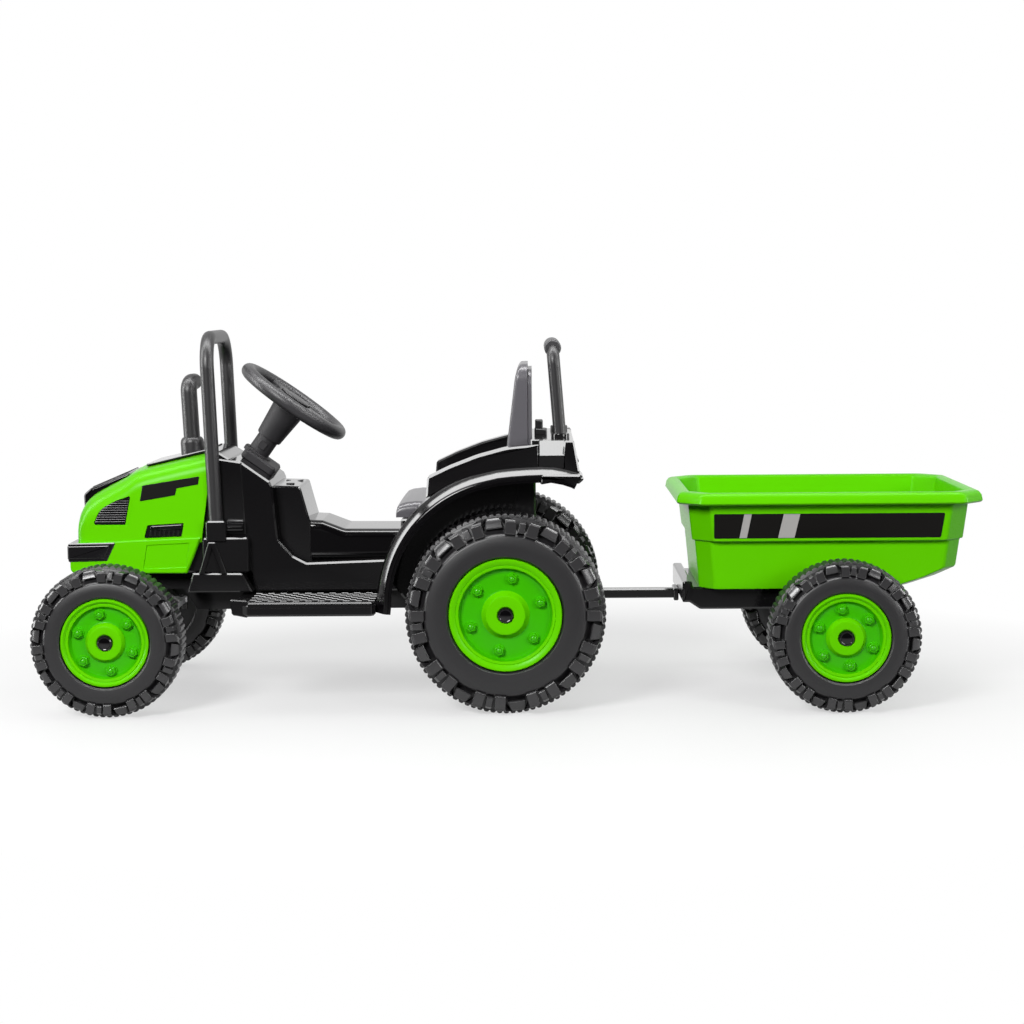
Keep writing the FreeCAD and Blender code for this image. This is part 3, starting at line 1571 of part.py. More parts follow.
# Accelerator pedal between two lugs on the right running board
pedal_x = front_x + d.pedal_x
lug_in = d.pedal_half + d.gap
lug_out = lug_in + d.lug_wide
lug_x = (pedal_x - d.lug_half, pedal_x + d.lug_half)
lug_z = (d.step_top, d.pedal_z + d.lug_half)
lugs = [
    box("pedal_lug_inner", lug_x, (d.pedal_y - lug_out, d.pedal_y - lug_in), lug_z),
    box("pedal_lug_outer", lug_x, (d.pedal_y + lug_in, d.pedal_y + lug_out), lug_z),
]
pedal_bore = rod("pedal_bore", "Y", d.pedal_pin + d.fit, (-lug_out, lug_out),
                 x=pedal_x, y=d.pedal_y, z=d.pedal_z)
right_step = fuse("step_right_solid", mirrored("step_twin", step), *lugs)
keep("step_right", cut("step_right_cut", right_step, pedal_bore))
pedal_plate = box("pedal_plate", (-d.pedal_length, 0), (-d.pedal_half, d.pedal_half),
                  (-d.pedal_thick / 2, d.pedal_thick / 2))
pedal_pins = rod("pedal_pins", "Y", d.pedal_pin, (-lug_out, lug_out))
pedal_barrel = rod("pedal_barrel", "Y", d.pedal_barrel, (-d.pedal_half, d.pedal_half))
pedal = fuse("pedal_set", pedal_plate, pedal_pins, pedal_barrel)
pedal.Placement = Placement(Vector(), Rotation(AXIS["Y"], SIZES["pedal_tilt"]))
keep("accelerator_pedal", place(pedal, pedal_x, d.pedal_y, d.pedal_z))

# Hitch: a fork behind the tray with a headed pin for the drawbar's eye
hitch_x = rear_x + d.chassis_tail + d.hitch_plate + d.hitch_reach
eye_low = d.drawbar_z - d.gap
eye_high = d.drawbar_z + d.drawbar_high + d.gap
hitch_start = rear_x + d.chassis_tail
hitch_mouth = hitch_start + d.hitch_plate
hitch_end = hitch_x + d.drawbar_eye
fork = prism("hitch_fork", "XZ_Plane", [
    (hitch_start, eye_low - d.hitch_tongue),
    (hitch_end, eye_low - d.hitch_tongue),
    (hitch_end, eye_low),
    (hitch_mouth, eye_low),
    (hitch_mouth, eye_high),
    (hitch_end, eye_high),
    (hitch_end, eye_high + d.hitch_tongue),
    (hitch_start, eye_high + d.hitch_tongue),
], (-d.hitch_half, d.hitch_half))
fork_span = (eye_low - d.hitch_tongue, eye_high + d.hitch_tongue)
hitch_bore = rod("hitch_bore", "Z", d.pin_radius + d.fit, fork_span, x=hitch_x)
keep("hitch_bracket", cut("hitch_cut", fork, hitch_bore))
keep("hitch_pin", fuse(
    "pin_set",
    rod("pin_shank", "Z", d.pin_radius, (fork_span[0] - d.pin_tail, fork_span[1]), x=hitch_x),
    rod("pin_cap", "Z", d.pin_head, (fork_span[1], fork_span[1] + d.hitch_tongue), x=hitch_x)))

# Drawbar from the hitch pin to the trailer's front
base_front = trailer_x - d.base_front
bar_span = (d.drawbar_z, d.drawbar_z + d.drawbar_high)
drawbar_solid = fuse(
    "drawbar_solid",
    rod("drawbar_eye", "Z", d.drawbar_eye, bar_span, x=hitch_x),
    box("drawbar_bar", (hitch_x, base_front), (-d.drawbar_half, d.drawbar_half), bar_span),
    box("drawbar_flange", (base_front - d.flange_thick, base_front), (-d.flange_half, d.flange_half),
        (d.base_bottom + d.flange_drop, d.base_bracket_z - d.flange_drop)))
keep("drawbar", cut("drawbar_cut", drawbar_solid,
                    rod("drawbar_bore", "Z", d.pin_radius + d.fit, bar_span, x=hitch_x)))

# Trailer base: shallow shell under the tub with the axle's hangers
bracket_x = base_front + d.base_bracket
base = prism("base_body", "XZ_Plane", [
    (base_front, d.base_bracket_z),
    (base_front, d.base_bottom),
    (trailer_x + d.base_rear, d.base_bottom),
    (trailer_x + d.base_rear, d.tub_floor_z),
    (bracket_x, d.tub_floor_z),
    (bracket_x, d.base_bracket_z),
], (-d.base_half, d.base_half))
hollow(base, "base_shell", d.base_wall, lambda face: face.BoundBox.ZMax < SIZES["base_bottom"] + 0.1)
hanger = box("hanger_left", (trailer_x - d.hanger_half, trailer_x + d.hanger_half),
             (-d.base_half, d.hanger_thick - d.base_half), (d.small_radius - d.hanger_drop, d.tub_floor_z))
base_solid = fuse("base_solid", base, hanger, mirrored("hanger_right", hanger))
keep("trailer_base", cut("base_cut", base_solid, rod(
    "hanger_bore", "Y", d.axle_radius, (-d.base_half, d.base_half), x=trailer_x, z=d.small_radius)))

# Trailer axle with spacers and lock nuts
trailer_end = axle_end(d.trailer_track, d.small_width)
trailer_hub = hub_face(d.trailer_track, d.small_width)
spacer = rod("trailer_spacer", "Y", d.spacer_radius, (d.gap - trailer_hub, -d.base_half),
             x=trailer_x, z=d.small_radius)
trailer_rod = fuse(
    "trailer_rod",
    rod("trailer_shaft", "Y", d.axle_radius, (-trailer_end, trailer_end), x=trailer_x, z=d.small_radius),
    spacer, mirrored("trailer_spacer_right", spacer))
trailer_nuts = [
    axle_nut(f"trailer_nut_{side}", side, d.trailer_track, d.small_width, trailer_x, d.small_radius,
             d.axle_radius)
    for side in (-1, 1)
]
keep("trailer_axle", group("trailer_axle_set", trailer_rod, *trailer_nuts))


# Trailer tub: stacked tapering shells with cut corners and a rim

def ring_corners(front, rear, half, inset):
    """Rectangle with cut corners in plan, drawn in by an inset."""
    cut_x = d.corner_x
    cut_y = d.corner_y
    front = front + inset
    rear = rear - inset
    half = half - inset
    return [
        (front, half - cut_y), (front, cut_y - half), (front + cut_x, -half), (rear - cut_x, -half),
        (rear, cut_y - half), (rear, half - cut_y), (rear - cut_x, half), (front + cut_x, half),
    ]


tub_front = trailer_x - d.tub_reach
tub_rear = trailer_x + d.tub_overhang
step_inset = d.lip_side + d.tub_draft
foot_inset = step_inset + d.tub_step
LEVELS = [
    (d.lip_z, d.lip_side, d.lip_side, 0),
    (d.tub_step_z, step_inset, step_inset, 0),
    (d.tub_step_z, foot_inset, step_inset + d.tub_step_side, 0),
    (d.tub_knee_z, foot_inset + d.tub_step, step_inset + d.tub_step_side + d.tub_step, 0),
    (d.tub_floor_z, foot_inset + d.tub_draft, step_inset + d.tub_step_side + d.tub_draft, d.tub_tail_rise),
]


def tub_stage(name, upper, lower, inset=0, lifts=(0, 0)):
    """Tapering block between two levels, drawn in by the wall, its foot and head lifted by floors."""
    body = new_body(name)
    sketches = []
    for mark, level, lift in (("foot", lower, lifts[0]), ("head", upper, lifts[1])):
        z, end_inset, side_inset, tail_inset = level
        corners = ring_corners(tub_front + end_inset, tub_rear - end_inset - tail_inset,
                               d.tub_half - side_inset, inset)
        sketches.append(draw_outline(new_sketch(body, f"{name}_{mark}", "XY_Plane", z + lift), corners))
    loft = body.newObject("PartDesign::AdditiveLoft", name + "_loft")
    loft.Profile = sketches[0]
    loft.Sections = [sketches[1]]
    loft.Ruled = True
    body.Tip = loft
    return body


lip = prism("tub_lip", "XY_Plane", ring_corners(tub_front, tub_rear, d.tub_half, 0), (d.lip_z, d.tub_top))
mouth = prism("tub_mouth", "XY_Plane", ring_corners(
    tub_front + d.lip_side, tub_rear - d.lip_side, d.tub_half - d.lip_side, d.tub_wall), (d.lip_z, d.tub_top))
stages = [
    ("upper", LEVELS[0], LEVELS[1], (d.tub_wall, 0)),
    ("lower", LEVELS[2], LEVELS[3], (0, d.tub_wall)),
    ("keel", LEVELS[3], LEVELS[4], (d.tub_wall, 0)),
]
outer = [tub_stage(f"tub_{word}", high, low) for word, high, low, floors in stages]
inner = [tub_stage(f"tub_{word}_room", high, low, d.tub_wall, floors) for word, high, low, floors in stages]
keep("trailer_tub", cut("tub_cut", fuse("tub_solid", lip, *outer), mouth, *inner))

# Nothing is written unless every object worked and every sub-part is a sound shape
doc.recompute()
failed = [thing.Label for thing in doc.Objects if {"Invalid", "Error"} & set(thing.State)]
if failed:
    raise SystemExit("failed objects: " + ", ".join(failed))
for node, solid in NODES.items():
    if solid.Shape.isNull() or not solid.Shape.isValid() or not solid.Shape.Solids:
        raise SystemExit("unsound shape: " + node)
os.makedirs("parts", exist_ok=True)
for node, solid in NODES.items():
    solid.Shape.exportStep(os.path.join("parts", node + ".step"))
    print(node, len(solid.Shape.Solids), round(solid.Shape.Volume))
print(len(NODES), "nodes")
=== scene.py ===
# %% [markdown]
# # A ride-on tractor and its trailer
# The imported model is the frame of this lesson: it says where each piece of the toy sits, how it moves
# and what it touches. Here every piece gets the form and the finish that the eye sees, in the same
# coordinates, so nothing has to be fitted by hand.

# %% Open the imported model
import math

import bmesh
import bpy
from mathutils import Matrix, Vector


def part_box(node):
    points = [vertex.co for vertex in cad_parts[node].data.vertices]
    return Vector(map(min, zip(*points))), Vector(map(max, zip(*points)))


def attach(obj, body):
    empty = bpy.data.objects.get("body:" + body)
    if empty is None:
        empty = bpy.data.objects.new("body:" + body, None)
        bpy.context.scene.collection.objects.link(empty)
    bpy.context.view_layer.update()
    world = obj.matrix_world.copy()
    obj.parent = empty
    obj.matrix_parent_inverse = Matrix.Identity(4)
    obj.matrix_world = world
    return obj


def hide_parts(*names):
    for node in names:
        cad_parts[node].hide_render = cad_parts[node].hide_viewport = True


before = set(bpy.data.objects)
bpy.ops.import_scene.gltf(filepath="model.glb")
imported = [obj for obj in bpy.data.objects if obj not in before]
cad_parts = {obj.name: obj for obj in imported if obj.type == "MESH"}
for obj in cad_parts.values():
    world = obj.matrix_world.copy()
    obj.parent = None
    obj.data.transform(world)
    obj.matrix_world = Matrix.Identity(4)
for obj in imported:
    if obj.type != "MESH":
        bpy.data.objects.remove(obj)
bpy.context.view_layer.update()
MM = 0.001

# %% [markdown]
# ## Arithmetic on sockets
# A finish is a small calculation: a cloudy colour, a grain in the gloss, a light edge. Such sums could
# be drawn by hand as nodes, but Python expressions are easier to read. This class wraps one output of
# a node, and each sum or product on it adds a Math node.

# %% The socket class
class Socket:
    """One output of a node, ready for arithmetic."""

    def __init__(self, tree, output=None):
        self.tree = tree
        self.output = output

    def node(self, kind, settings=None, sockets=None, output=0):
        """Add a shader node: its settings first, then the values or links of its sockets."""
        made = self.tree.nodes.new("ShaderNode" + kind)
        for name, value in (settings or {}).items():
            if name == "stops":
                ends = made.color_ramp.elements
                ends[0].position, ends[0].color = value[0]
                ends[1].position, ends[1].color = value[-1]
                for place, colour in value[1:-1]:
                    ends.new(place).color = colour
            else:
                setattr(made, name, value)
        for name, value in (sockets or {}).items():
            if isinstance(value, Socket):
                self.tree.links.new(value.output, made.inputs[name])
            else:
                made.inputs[name].default_value = value
        return Socket(self.tree, made.outputs[output] if made.outputs else None)

    def math(self, operation, first, second):
        return self.node("Math", {"operation": operation}, {0: first, 1: second})

    def __add__(self, other):
        return self.math("ADD", self, other)

    def __radd__(self, other):
        return self.math("ADD", other, self)

    def __sub__(self, other):
        return self.math("SUBTRACT", self, other)

    def __rsub__(self, other):
        return self.math("SUBTRACT", other, self)

    def __mul__(self, other):
        return self.math("MULTIPLY", self, other)

    def __rmul__(self, other):
        return self.math("MULTIPLY", other, self)


print("sockets can be added, subtracted and multiplied")

# %% [markdown]
# ## Moulded finishes
# Nearly everything on the toy is blown or injection-moulded plastic. A moulding is never one flat colour: the
# pigment clouds a little, the gloss follows the grain of the mould, and edges that hands and knees rub turn
# lighter. On the tread blocks the same lighter edges are a painted highlight. One recipe with a few numbers
# covers all of these, so each finish is a line with its own colour, gloss, grain, and edge lightening for
# wear and painted highlight.

# %% One recipe for the finishes
CLOUD_SCALE = 14.0
WEAR_AND_SHEEN_LIFT = 0.08


def tint(colour, factor):
    """A colour made lighter or darker, as four numbers."""
    return tuple(min(1.0, part * factor) for part in colour) + (1.0,)


def between(start, factor, first, second):
    """A colour mixed from two others."""
    return start.node("Mix", {"data_type": "RGBA"}, {0: factor, 6: first, 7: second}, output=2)


def finish(name, colour, roughness, grain=900, relief=0.03, mottle=0.1, wear_and_sheen=0.0, shine=0.5, metal=0.0):
    """A moulded finish with cloudy colour, grain in its gloss and lighter edges: rubbed wear, and a painted
    highlight on the tread blocks.
    """
    material = bpy.data.materials.new(name)
    material.use_nodes = True
    material.node_tree.nodes.clear()
    start = Socket(material.node_tree)
    place = start.node("TexCoord", output="Object")
    cloud = start.node("TexNoise", sockets={"Vector": place, "Scale": CLOUD_SCALE, "Detail": 3.0})
    fine = start.node("TexNoise", sockets={"Vector": place, "Scale": grain, "Detail": 2.0})
    tone = between(start, cloud, tint(colour, 1 - mottle), tint(colour, 1 + mottle))
    # Lighter convex edges: rubbed wear on most finishes, a painted highlight on the tread blocks.
    if wear_and_sheen:
        ridge = start.node("NewGeometry", output="Pointiness")
        edge = start.node("ValToRGB", {
            "stops": [(0.52, (0, 0, 0, 1)), (0.62, (1, 1, 1, 1))]}, {0: ridge})
        tone = between(start, edge * wear_and_sheen, tone, tint([part + WEAR_AND_SHEEN_LIFT for part in colour], 1.5))
    bump = start.node("Bump", sockets={"Strength": relief, "Distance": MM, "Height": fine})
    surface = start.node("BsdfPrincipled", sockets={
        "Base Color": tone, "Roughness": roughness * 0.85 + fine * (roughness * 0.3), "Normal": bump,
        "Specular IOR Level": shine, "Metallic": metal})
    start.node("OutputMaterial", sockets={"Surface": surface})
    return material


print("one recipe for moulded plastic")

# %% The finishes of this toy
LIME = finish("lime_moulding", (0.115, 0.585, 0.0), 0.28, relief=0.008, mottle=0.03, shine=0.08)
# A darker copy of the lime moulding for the rim dishes: painted shade in the dish.
LIME_PAINTED_SHADE = finish("lime_dish_painted_shade", (0.042, 0.43, 0.0), 0.24, relief=0.008, mottle=0.04, shine=0.2)
GLOSS = finish("black_gloss", (0.0022, 0.0019, 0.0024), 0.1, relief=0.006, wear_and_sheen=0.1, shine=0.38)
SATIN = finish("black_satin", (0.0085, 0.0078, 0.009), 0.4, grain=1500, mottle=0.08, wear_and_sheen=0.1)
DULL = finish("black_dull", (0.02, 0.019, 0.021), 0.6, grain=1500, relief=0.05, shine=0.3)
PRINT = finish("black_print", (0.004, 0.0035, 0.003), 0.5, grain=1500, relief=0.01, shine=0.12)
GRAIN = finish("grey_grain", (0.024, 0.023, 0.0255), 0.42, grain=2200, relief=0.12, wear_and_sheen=0.1)
SEATING = finish("seat_satin", (0.105, 0.101, 0.112), 0.3, grain=1800, relief=0.08, mottle=0.06)
TYRE = finish("tyre_wall", (0.0105, 0.0098, 0.011), 0.42, grain=1100, relief=0.1, mottle=0.15)
# The tread is a lighter copy of the tyre wall with strongly lightened edges: painted light on the lugs.
TREAD_PAINTED_LIGHT = finish("tread_blocks_painted_light", (0.016, 0.0152, 0.0166), 0.24, grain=1100, relief=0.1, mottle=0.2, wear_and_sheen=0.4)
SMOKED = finish("smoked_lens", (0.006, 0.0055, 0.0065), 0.12, grain=500, relief=0.004, mottle=0.08)
SILVER = finish("silver_print", (0.38, 0.37, 0.36), 0.35, grain=1200, relief=0.01, mottle=0.04)
STEEL = finish("zinc_steel", (0.55, 0.55, 0.56), 0.34, grain=1600, mottle=0.08, metal=1.0)
NYLON = finish("gear_nylon", (0.62, 0.61, 0.57), 0.45, grain=800, mottle=0.05)
CASE = finish("battery_case", (0.09, 0.09, 0.1), 0.5, relief=0.06, mottle=0.05)
print(f"{len(bpy.data.materials)} finishes")

# %% [markdown]
# ## Outlines, plates, turnings and bars
# A moulded toy is mostly plates with rounded rims, turned forms and bent bars. Each could be made from
# a primitive and modifiers, but a loop of points that is stacked into a shell keeps every radius under
# control. All shells are written in millimetres, in the frame's own coordinates.

# %% Rounded outlines and stacked shells
def rounded(points, radii, closed, steps):
    """A row of corners with arcs in place of those that have a radius."""
    found = []
    for index, (here, radius) in enumerate(zip(points, radii)):
        if not radius or (not closed and index in (0, len(points) - 1)):
            found.append(here)
            continue
        back = (points[index - 1] - here).normalized()
        ahead = (points[(index + 1) % len(points)] - here).normalized()
        half = back.angle(ahead) / 2
        centre = here + (back + ahead).normalized() * radius / math.sin(half)
        first = here + back * radius / math.tan(half) - centre
        last = here + ahead * radius / math.tan(half) - centre
        turn = math.pi - 2 * half
        for step in range(steps + 1):
            share = turn * step / steps
            swing = first * math.sin(turn - share) + last * math.sin(share)
            found.append(centre + swing / math.sin(turn))
    return found


def outline(*corners, steps=6):
    """Flat outline from corners of (u, v) or (u, v, radius)."""
    return rounded([Vector(corner[:2]) for corner in corners],
                   [corner[2] if len(corner) > 2 else 0 for corner in corners], True, steps)


def route(*corners, steps=8):
    """Path in space from corners of (x, y, z) or (x, y, z, radius)."""
    return rounded([Vector(corner[:3]) for corner in corners],
                   [corner[3] if len(corner) > 3 else 0 for corner in corners], False, steps)


def stacked(loops):
    """Closed shell through loops that have the same number of points."""
    count = len(loops[0])
    points = [Vector(point) for loop in loops for point in loop]
    faces = [list(range(count)), list(range(len(points) - count, len(points)))]
    for level in range(len(loops) - 1):
        for index in range(count):
            low = level * count + index
            beside = level * count + (index + 1) % count
            faces.append([low, beside, beside + count, low + count])
    return points, faces


print("outlines and stacks are ready")

# %% Plates, turnings and bars
def circle(steps):
    """The angles of equal steps round a circle."""
    return [math.tau * step / steps for step in range(steps)]


PLANES = {
    "XZ": lambda u, v, depth: (u, depth, v),
    "XY": lambda u, v, depth: (u, v, depth),
    "YZ": lambda u, v, depth: (depth, u, v),
}


def drawn_in(points, amount):
    """An outline moved inwards by an amount."""
    pairs = list(zip(points, points[1:] + points[:1]))
    inward = 1 if sum(a.x * b.y - b.x * a.y for a, b in pairs) > 0 else -1
    found = []
    for index, here in enumerate(points):
        back = (here - points[index - 1]).normalized()
        ahead = (points[(index + 1) % len(points)] - here).normalized()
        one, two = Vector((-back.y, back.x)), Vector((-ahead.y, ahead.x))
        found.append(here + (one + two) * amount * inward / (1 + one.dot(two)))
    return found


def plate(points, low, high, edge=2.0, plane="XZ", steps=1):
    """Plate of an outline between two depths; more steps make the bevel of its rims round."""
    bends = [math.pi / 2 * step / steps for step in range(steps + 1)]
    rims = [(edge * (1 - math.sin(bend)), edge * (1 - math.cos(bend))) for bend in bends]
    levels = [(inset, low + depth) for inset, depth in rims]
    levels += [(inset, high - depth) for inset, depth in reversed(rims)]
    return stacked([[PLANES[plane](*point, depth) for point in drawn_in(points, inset)]
                    for inset, depth in levels])


def turned(profile, steps=32, ring=False):
    """Shell of a profile of (radius, height) turned about Z; a ring's profile closes on itself."""
    loops = [[(radius * math.cos(angle), radius * math.sin(angle), height) for angle in circle(steps)]
             for radius, height in profile]
    if not ring:
        return stacked(loops)
    points, faces = stacked(loops + loops[:1])
    return points, faces[2:]


def bar(path, radius, sides=24):
    """Round bar along a path; a list of radii shapes it."""
    loops, side = [], None
    for index, here in enumerate(path):
        ahead = (path[min(index + 1, len(path) - 1)] - path[max(index - 1, 0)]).normalized()
        side = ahead.orthogonal() if side is None else side - ahead * side.dot(ahead)
        side.normalize()
        across = ahead.cross(side)
        thick = radius[index] if isinstance(radius, list) else radius
        loops.append([here + (side * math.cos(turn) + across * math.sin(turn)) * thick
                      for turn in circle(sides)])
    return stacked(loops)


print("plates, turnings and bars are ready")

# %% Placing shells
def aimed(shell, origin, axis=(0, 0, 1), spin=0.0):
    """A shell with its Z turned to an axis and its zero moved to an origin."""
    turn = Vector((0, 0, 1)).rotation_difference(Vector(axis)).to_matrix() @ Matrix.Rotation(spin, 3, "Z")
    return [turn @ point + Vector(origin) for point in shell[0]], shell[1]


def far_side(shell):
    """The same shell on the driver's right."""
    return [Vector((point.x, -point.y, point.z)) for point in shell[0]], shell[1]


def both(*shells):
    """Shells for the left side and their twins for the right."""
    return [*shells, *(far_side(shell) for shell in shells)]


print("shells can be placed")

# %% Making pieces of shells
SHARP = math.radians(35)


def mesh_of(name, shells):
    """A clean mesh of shells, in metres."""
    points, faces = [], []
    for shell_points, shell_faces in shells:
        start = len(points)
        points += [point * MM for point in shell_points]
        faces += [[start + index for index in face] for face in shell_faces]
    mesh = bpy.data.meshes.new(name)
    mesh.from_pydata(points, [], faces)
    form = bmesh.new()
    form.from_mesh(mesh)
    bmesh.ops.remove_doubles(form, verts=form.verts, dist=1e-6)
    bmesh.ops.recalc_face_normals(form, faces=form.faces)
    form.to_mesh(mesh)
    form.free()
    return mesh


def piece(name, shells, body="tractor", look=GLOSS, node="", bevel=0.0, cuts=()):
    """One piece that rides on a body, by default a black moulding; cuts are shells taken out of it."""
    made = bpy.data.objects.new(name, mesh_of(name, shells))
    bpy.context.scene.collection.objects.link(made)
    for cutter in cuts:
        tool = bpy.data.objects.new("cutter", mesh_of("cutter", [cutter]))
        bpy.context.scene.collection.objects.link(tool)
        change = made.modifiers.new("cut", "BOOLEAN")
        change.object = tool
        change.solver = "EXACT"
        shape = made.evaluated_get(bpy.context.evaluated_depsgraph_get())
        made.data = bpy.data.meshes.new_from_object(shape)
        made.modifiers.clear()
        bpy.data.objects.remove(tool)
    made.data.materials.clear()
    made.data.materials.append(look)
    made.data.shade_smooth()
    made.data.set_sharp_from_angle(angle=SHARP)
    if bevel:
        soften = made.modifiers.new("soft edges", "BEVEL")
        soften.width = bevel * MM
        soften.segments = 2
        soften.limit_method = "ANGLE"
        soften.angle_limit = SHARP
    level = made.modifiers.new("flat faces stay flat", "WEIGHTED_NORMAL")
    level.keep_sharp = not bevel
    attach(made, body)
    if node:
        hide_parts(node)


print("pieces can be made")

# %% [markdown]
# ## Tyres
# The tyres are hard hollow mouldings that copy a tractor's: a smooth bulging wall, blocks on each
# shoulder that lean together in pairs and climb to the crown, and a crown with fine cross teeth. The
# wall is turned, and every block is a short stack of loops from the shoulder to the crown. The numbers
# of a block are shares of the tyre's radius and half width, so one table serves both sizes.

# %% Tread tables
# Each row of a block: outer radius and depth, inner radius and depth, half width, share of the lean.
BLOCK = [
    (0.803, 0.955, 0.795, 0.80, 0.053, 0.0),
    (0.815, 1.0, 0.806, 0.78, 0.053, 0.0),
    (0.93, 1.0, 0.86, 0.70, 0.053, 0.0),
    (0.955, 0.93, 0.89, 0.62, 0.050, 0.15),
    (0.968, 0.70, 0.92, 0.50, 0.043, 0.7),
    (0.975, 0.56, 0.94, 0.40, 0.038, 1.0),
    (0.975, 0.48, 0.94, 0.34, 0.036, 1.0),
]
RIB = [
    (0.825, 0.92, 0.82, 0.75, 0.034, 0.0),
    (0.838, 0.96, 0.84, 0.70, 0.034, 0.0),
    (0.925, 0.90, 0.90, 0.60, 0.032, 0.0),
    (0.955, 0.72, 0.93, 0.45, 0.028, 0.0),
]
BRIDGE = [
    (0.862, 0.80, 0.86, 0.55, 0.088, 0.0),
    (0.872, 0.83, 0.87, 0.54, 0.086, 0.0),
    (0.935, 0.76, 0.92, 0.52, 0.074, 0.0),
    (0.968, 0.62, 0.955, 0.48, 0.056, 0.0),
]
# Each row of a tooth: radius as a share, half width in mm, half length as a share.
TOOTH = [(0.972, 4.0, 0.56), (0.986, 3.5, 0.54), (0.9955, 2.4, 0.52), (0.9995, 1.0, 0.5)]
TOOTH_PITCH = 9.6
PAIRS = 10
SPLAY, LEAN, RIB_ANGLE = math.radians(10.8), math.radians(4.8), math.radians(18)
HUB_BORE = 11.4
print(f"{PAIRS} pairs of blocks on each shoulder")

# %% Tyre forms
def headings(angle):
    """Directions away from the hub and along the tread, at an angle."""
    return Vector((math.cos(angle), math.sin(angle), 0)), Vector((-math.sin(angle), math.cos(angle), 0))


def block(rows, radius, half, angle, lean, side):
    """One tread block that starts at an angle and leans by another."""
    loops = []
    for out_r, out_y, in_r, in_y, wide, share in rows:
        away, across = headings(angle + lean * share)
        across = across * wide * radius
        outer = away * out_r * radius + Vector((0, 0, out_y * half * side))
        inner = away * in_r * radius + Vector((0, 0, in_y * half * side))
        loops.append([outer - across, outer + across, inner + across, inner - across])
    return stacked(loops)


def tyre_shells(radius, half, rim):
    """The wall of a tyre about Z, and the web that holds its hub."""
    side = [
        (rim + 0.7, 0.78), (rim + 1.2, 0.9), (rim + 3.5, 0.97), ((rim + 0.79 * radius) / 2, 1.0),
        (0.775 * radius, 0.975), (0.8 * radius, 0.91), (0.81 * radius, 0.84), (0.83 * radius, 0.70),
        (0.87 * radius, 0.62), (0.94 * radius, 0.58), (0.965 * radius, 0.56), (0.979 * radius, 0.52),
        (0.983 * radius, 0.44),
    ]
    profile = side + [(r, -y) for r, y in reversed(side)]
    shells = [turned([(r, y * half) for r, y in profile], 120, ring=True)]
    web = [(HUB_BORE, -0.5), (0.5 * rim, -0.5), (0.55 * rim, -0.42), (rim + 2, -0.42), (rim + 2, -0.32),
           (HUB_BORE, -0.32)]
    shells.append(turned([(r, y * half) for r, y in web], 64, ring=True))
    return shells


def tread_shells(radius, half, spin):
    """The tread blocks, with ribs and bridges between them."""
    shells = []
    for turn in circle(PAIRS):
        middle = spin + turn
        for side in (-1, 1):
            for hand in (-1, 1):
                shells.append(block(BLOCK, radius, half, middle + hand * SPLAY, -hand * LEAN, side))
            shells.append(block(RIB, radius, half, middle + RIB_ANGLE, 0, side))
            shells.append(block(BRIDGE, radius, half, middle, 0, side))
    return shells


def knurl(radius, half):
    """The round cross teeth on the crown."""
    shells = []
    for turn in circle(round(math.tau * radius / TOOTH_PITCH)):
        away, across = headings(turn)
        loops = []
        for height, wide, share in TOOTH:
            reach = Vector((0, 0, half * share))
            loops.append([away * height * radius + across * wide * a + reach * b
                          for a, b in ((-1, -1), (1, -1), (1, 1), (-1, 1))])
        shells.append(stacked(loops))
    return shells


print("tyres, blocks and teeth are ready")

# %% [markdown]
# ## Rims
# Each rim has a deep green dish with six dummy bolt heads, painted a darker green as painted shade. The outer
# ring and the raised boss stand forward in the light, so they keep the plain green as a brighter piece of
# their own, and a black cap hides the axle's nut.

# %% Rim forms
def rim_shells(rim, ring, boss, crown, bolts, half, spin):
    """Dish with its bolt heads, and boss with outer ring, about Z with the outside at +Z."""
    front, dish = 0.9 * half, 0.63 * half
    middle = [
        (11.2, dish - 6), (11.2, front - 3), (12.5, front - 1.6), (crown - 4, front - 0.8),
        (crown - 1.4, front - 1.5), (crown, front - 3.4), (crown + 0.45 * (boss - crown), dish + 3),
        (boss - 1.5, dish + 1), (boss - 1.5, dish - 6),
    ]
    hollow = [
        (boss - 1.5, dish - 6), (boss - 1.5, dish + 1), (boss + 1, dish + 0.3), (ring - 8, dish - 0.6),
        (ring - 3.5, dish + 0.5), (ring - 1.6, dish + 3), (ring - 0.4, front - 4.2), (ring - 0.4, front - 10),
        (ring - 2, dish - 6),
    ]
    edge = [
        (ring - 0.4, front - 10), (ring - 0.4, front - 4.2), (ring + 0.6, front - 2.6),
        (ring + 3.6, front - 2), (ring + 4.3, front - 2.9), (ring + 5.2, front - 1.7),
        (rim - 3.6, front + 0.2), (rim - 1.2, front), (rim, front - 1.8), (rim, front - 10),
    ]
    shells = [turned(hollow, 96, ring=True)]
    for turn in circle(6):
        spot = spin + turn
        foot = (bolts * math.cos(spot), bolts * math.sin(spot), dish - 1)
        washer = turned([(8.8, 0), (8.8, 2.0), (8.0, 2.8), (0, 2.8)], 28)
        nut = turned([(7.4, 2.0), (7.4, 6.4), (6.2, 7.6), (4.4, 7.6), (4.2, 6.6), (0, 6.6)], 6)
        dome = turned([(3.9, 6), (3.6, 8.2), (2.2, 9.0), (0, 9.2)], 20)
        shells += [aimed(washer, foot), aimed(nut, foot, spin=spot), aimed(dome, foot)]
    return shells, [turned(middle, 96, ring=True), turned(edge, 96, ring=True)]


def cap_shell(half):
    """The black cap over the axle's nut."""
    front = 0.9 * half
    return turned([(10.6, front - 8), (10.6, front - 1.6), (10.0, front + 0.2), (8.6, front + 1.2),
                   (7.9, front + 0.9), (4.5, front + 1.7), (0, front + 2.0)], 40)


print("rims and caps are ready")

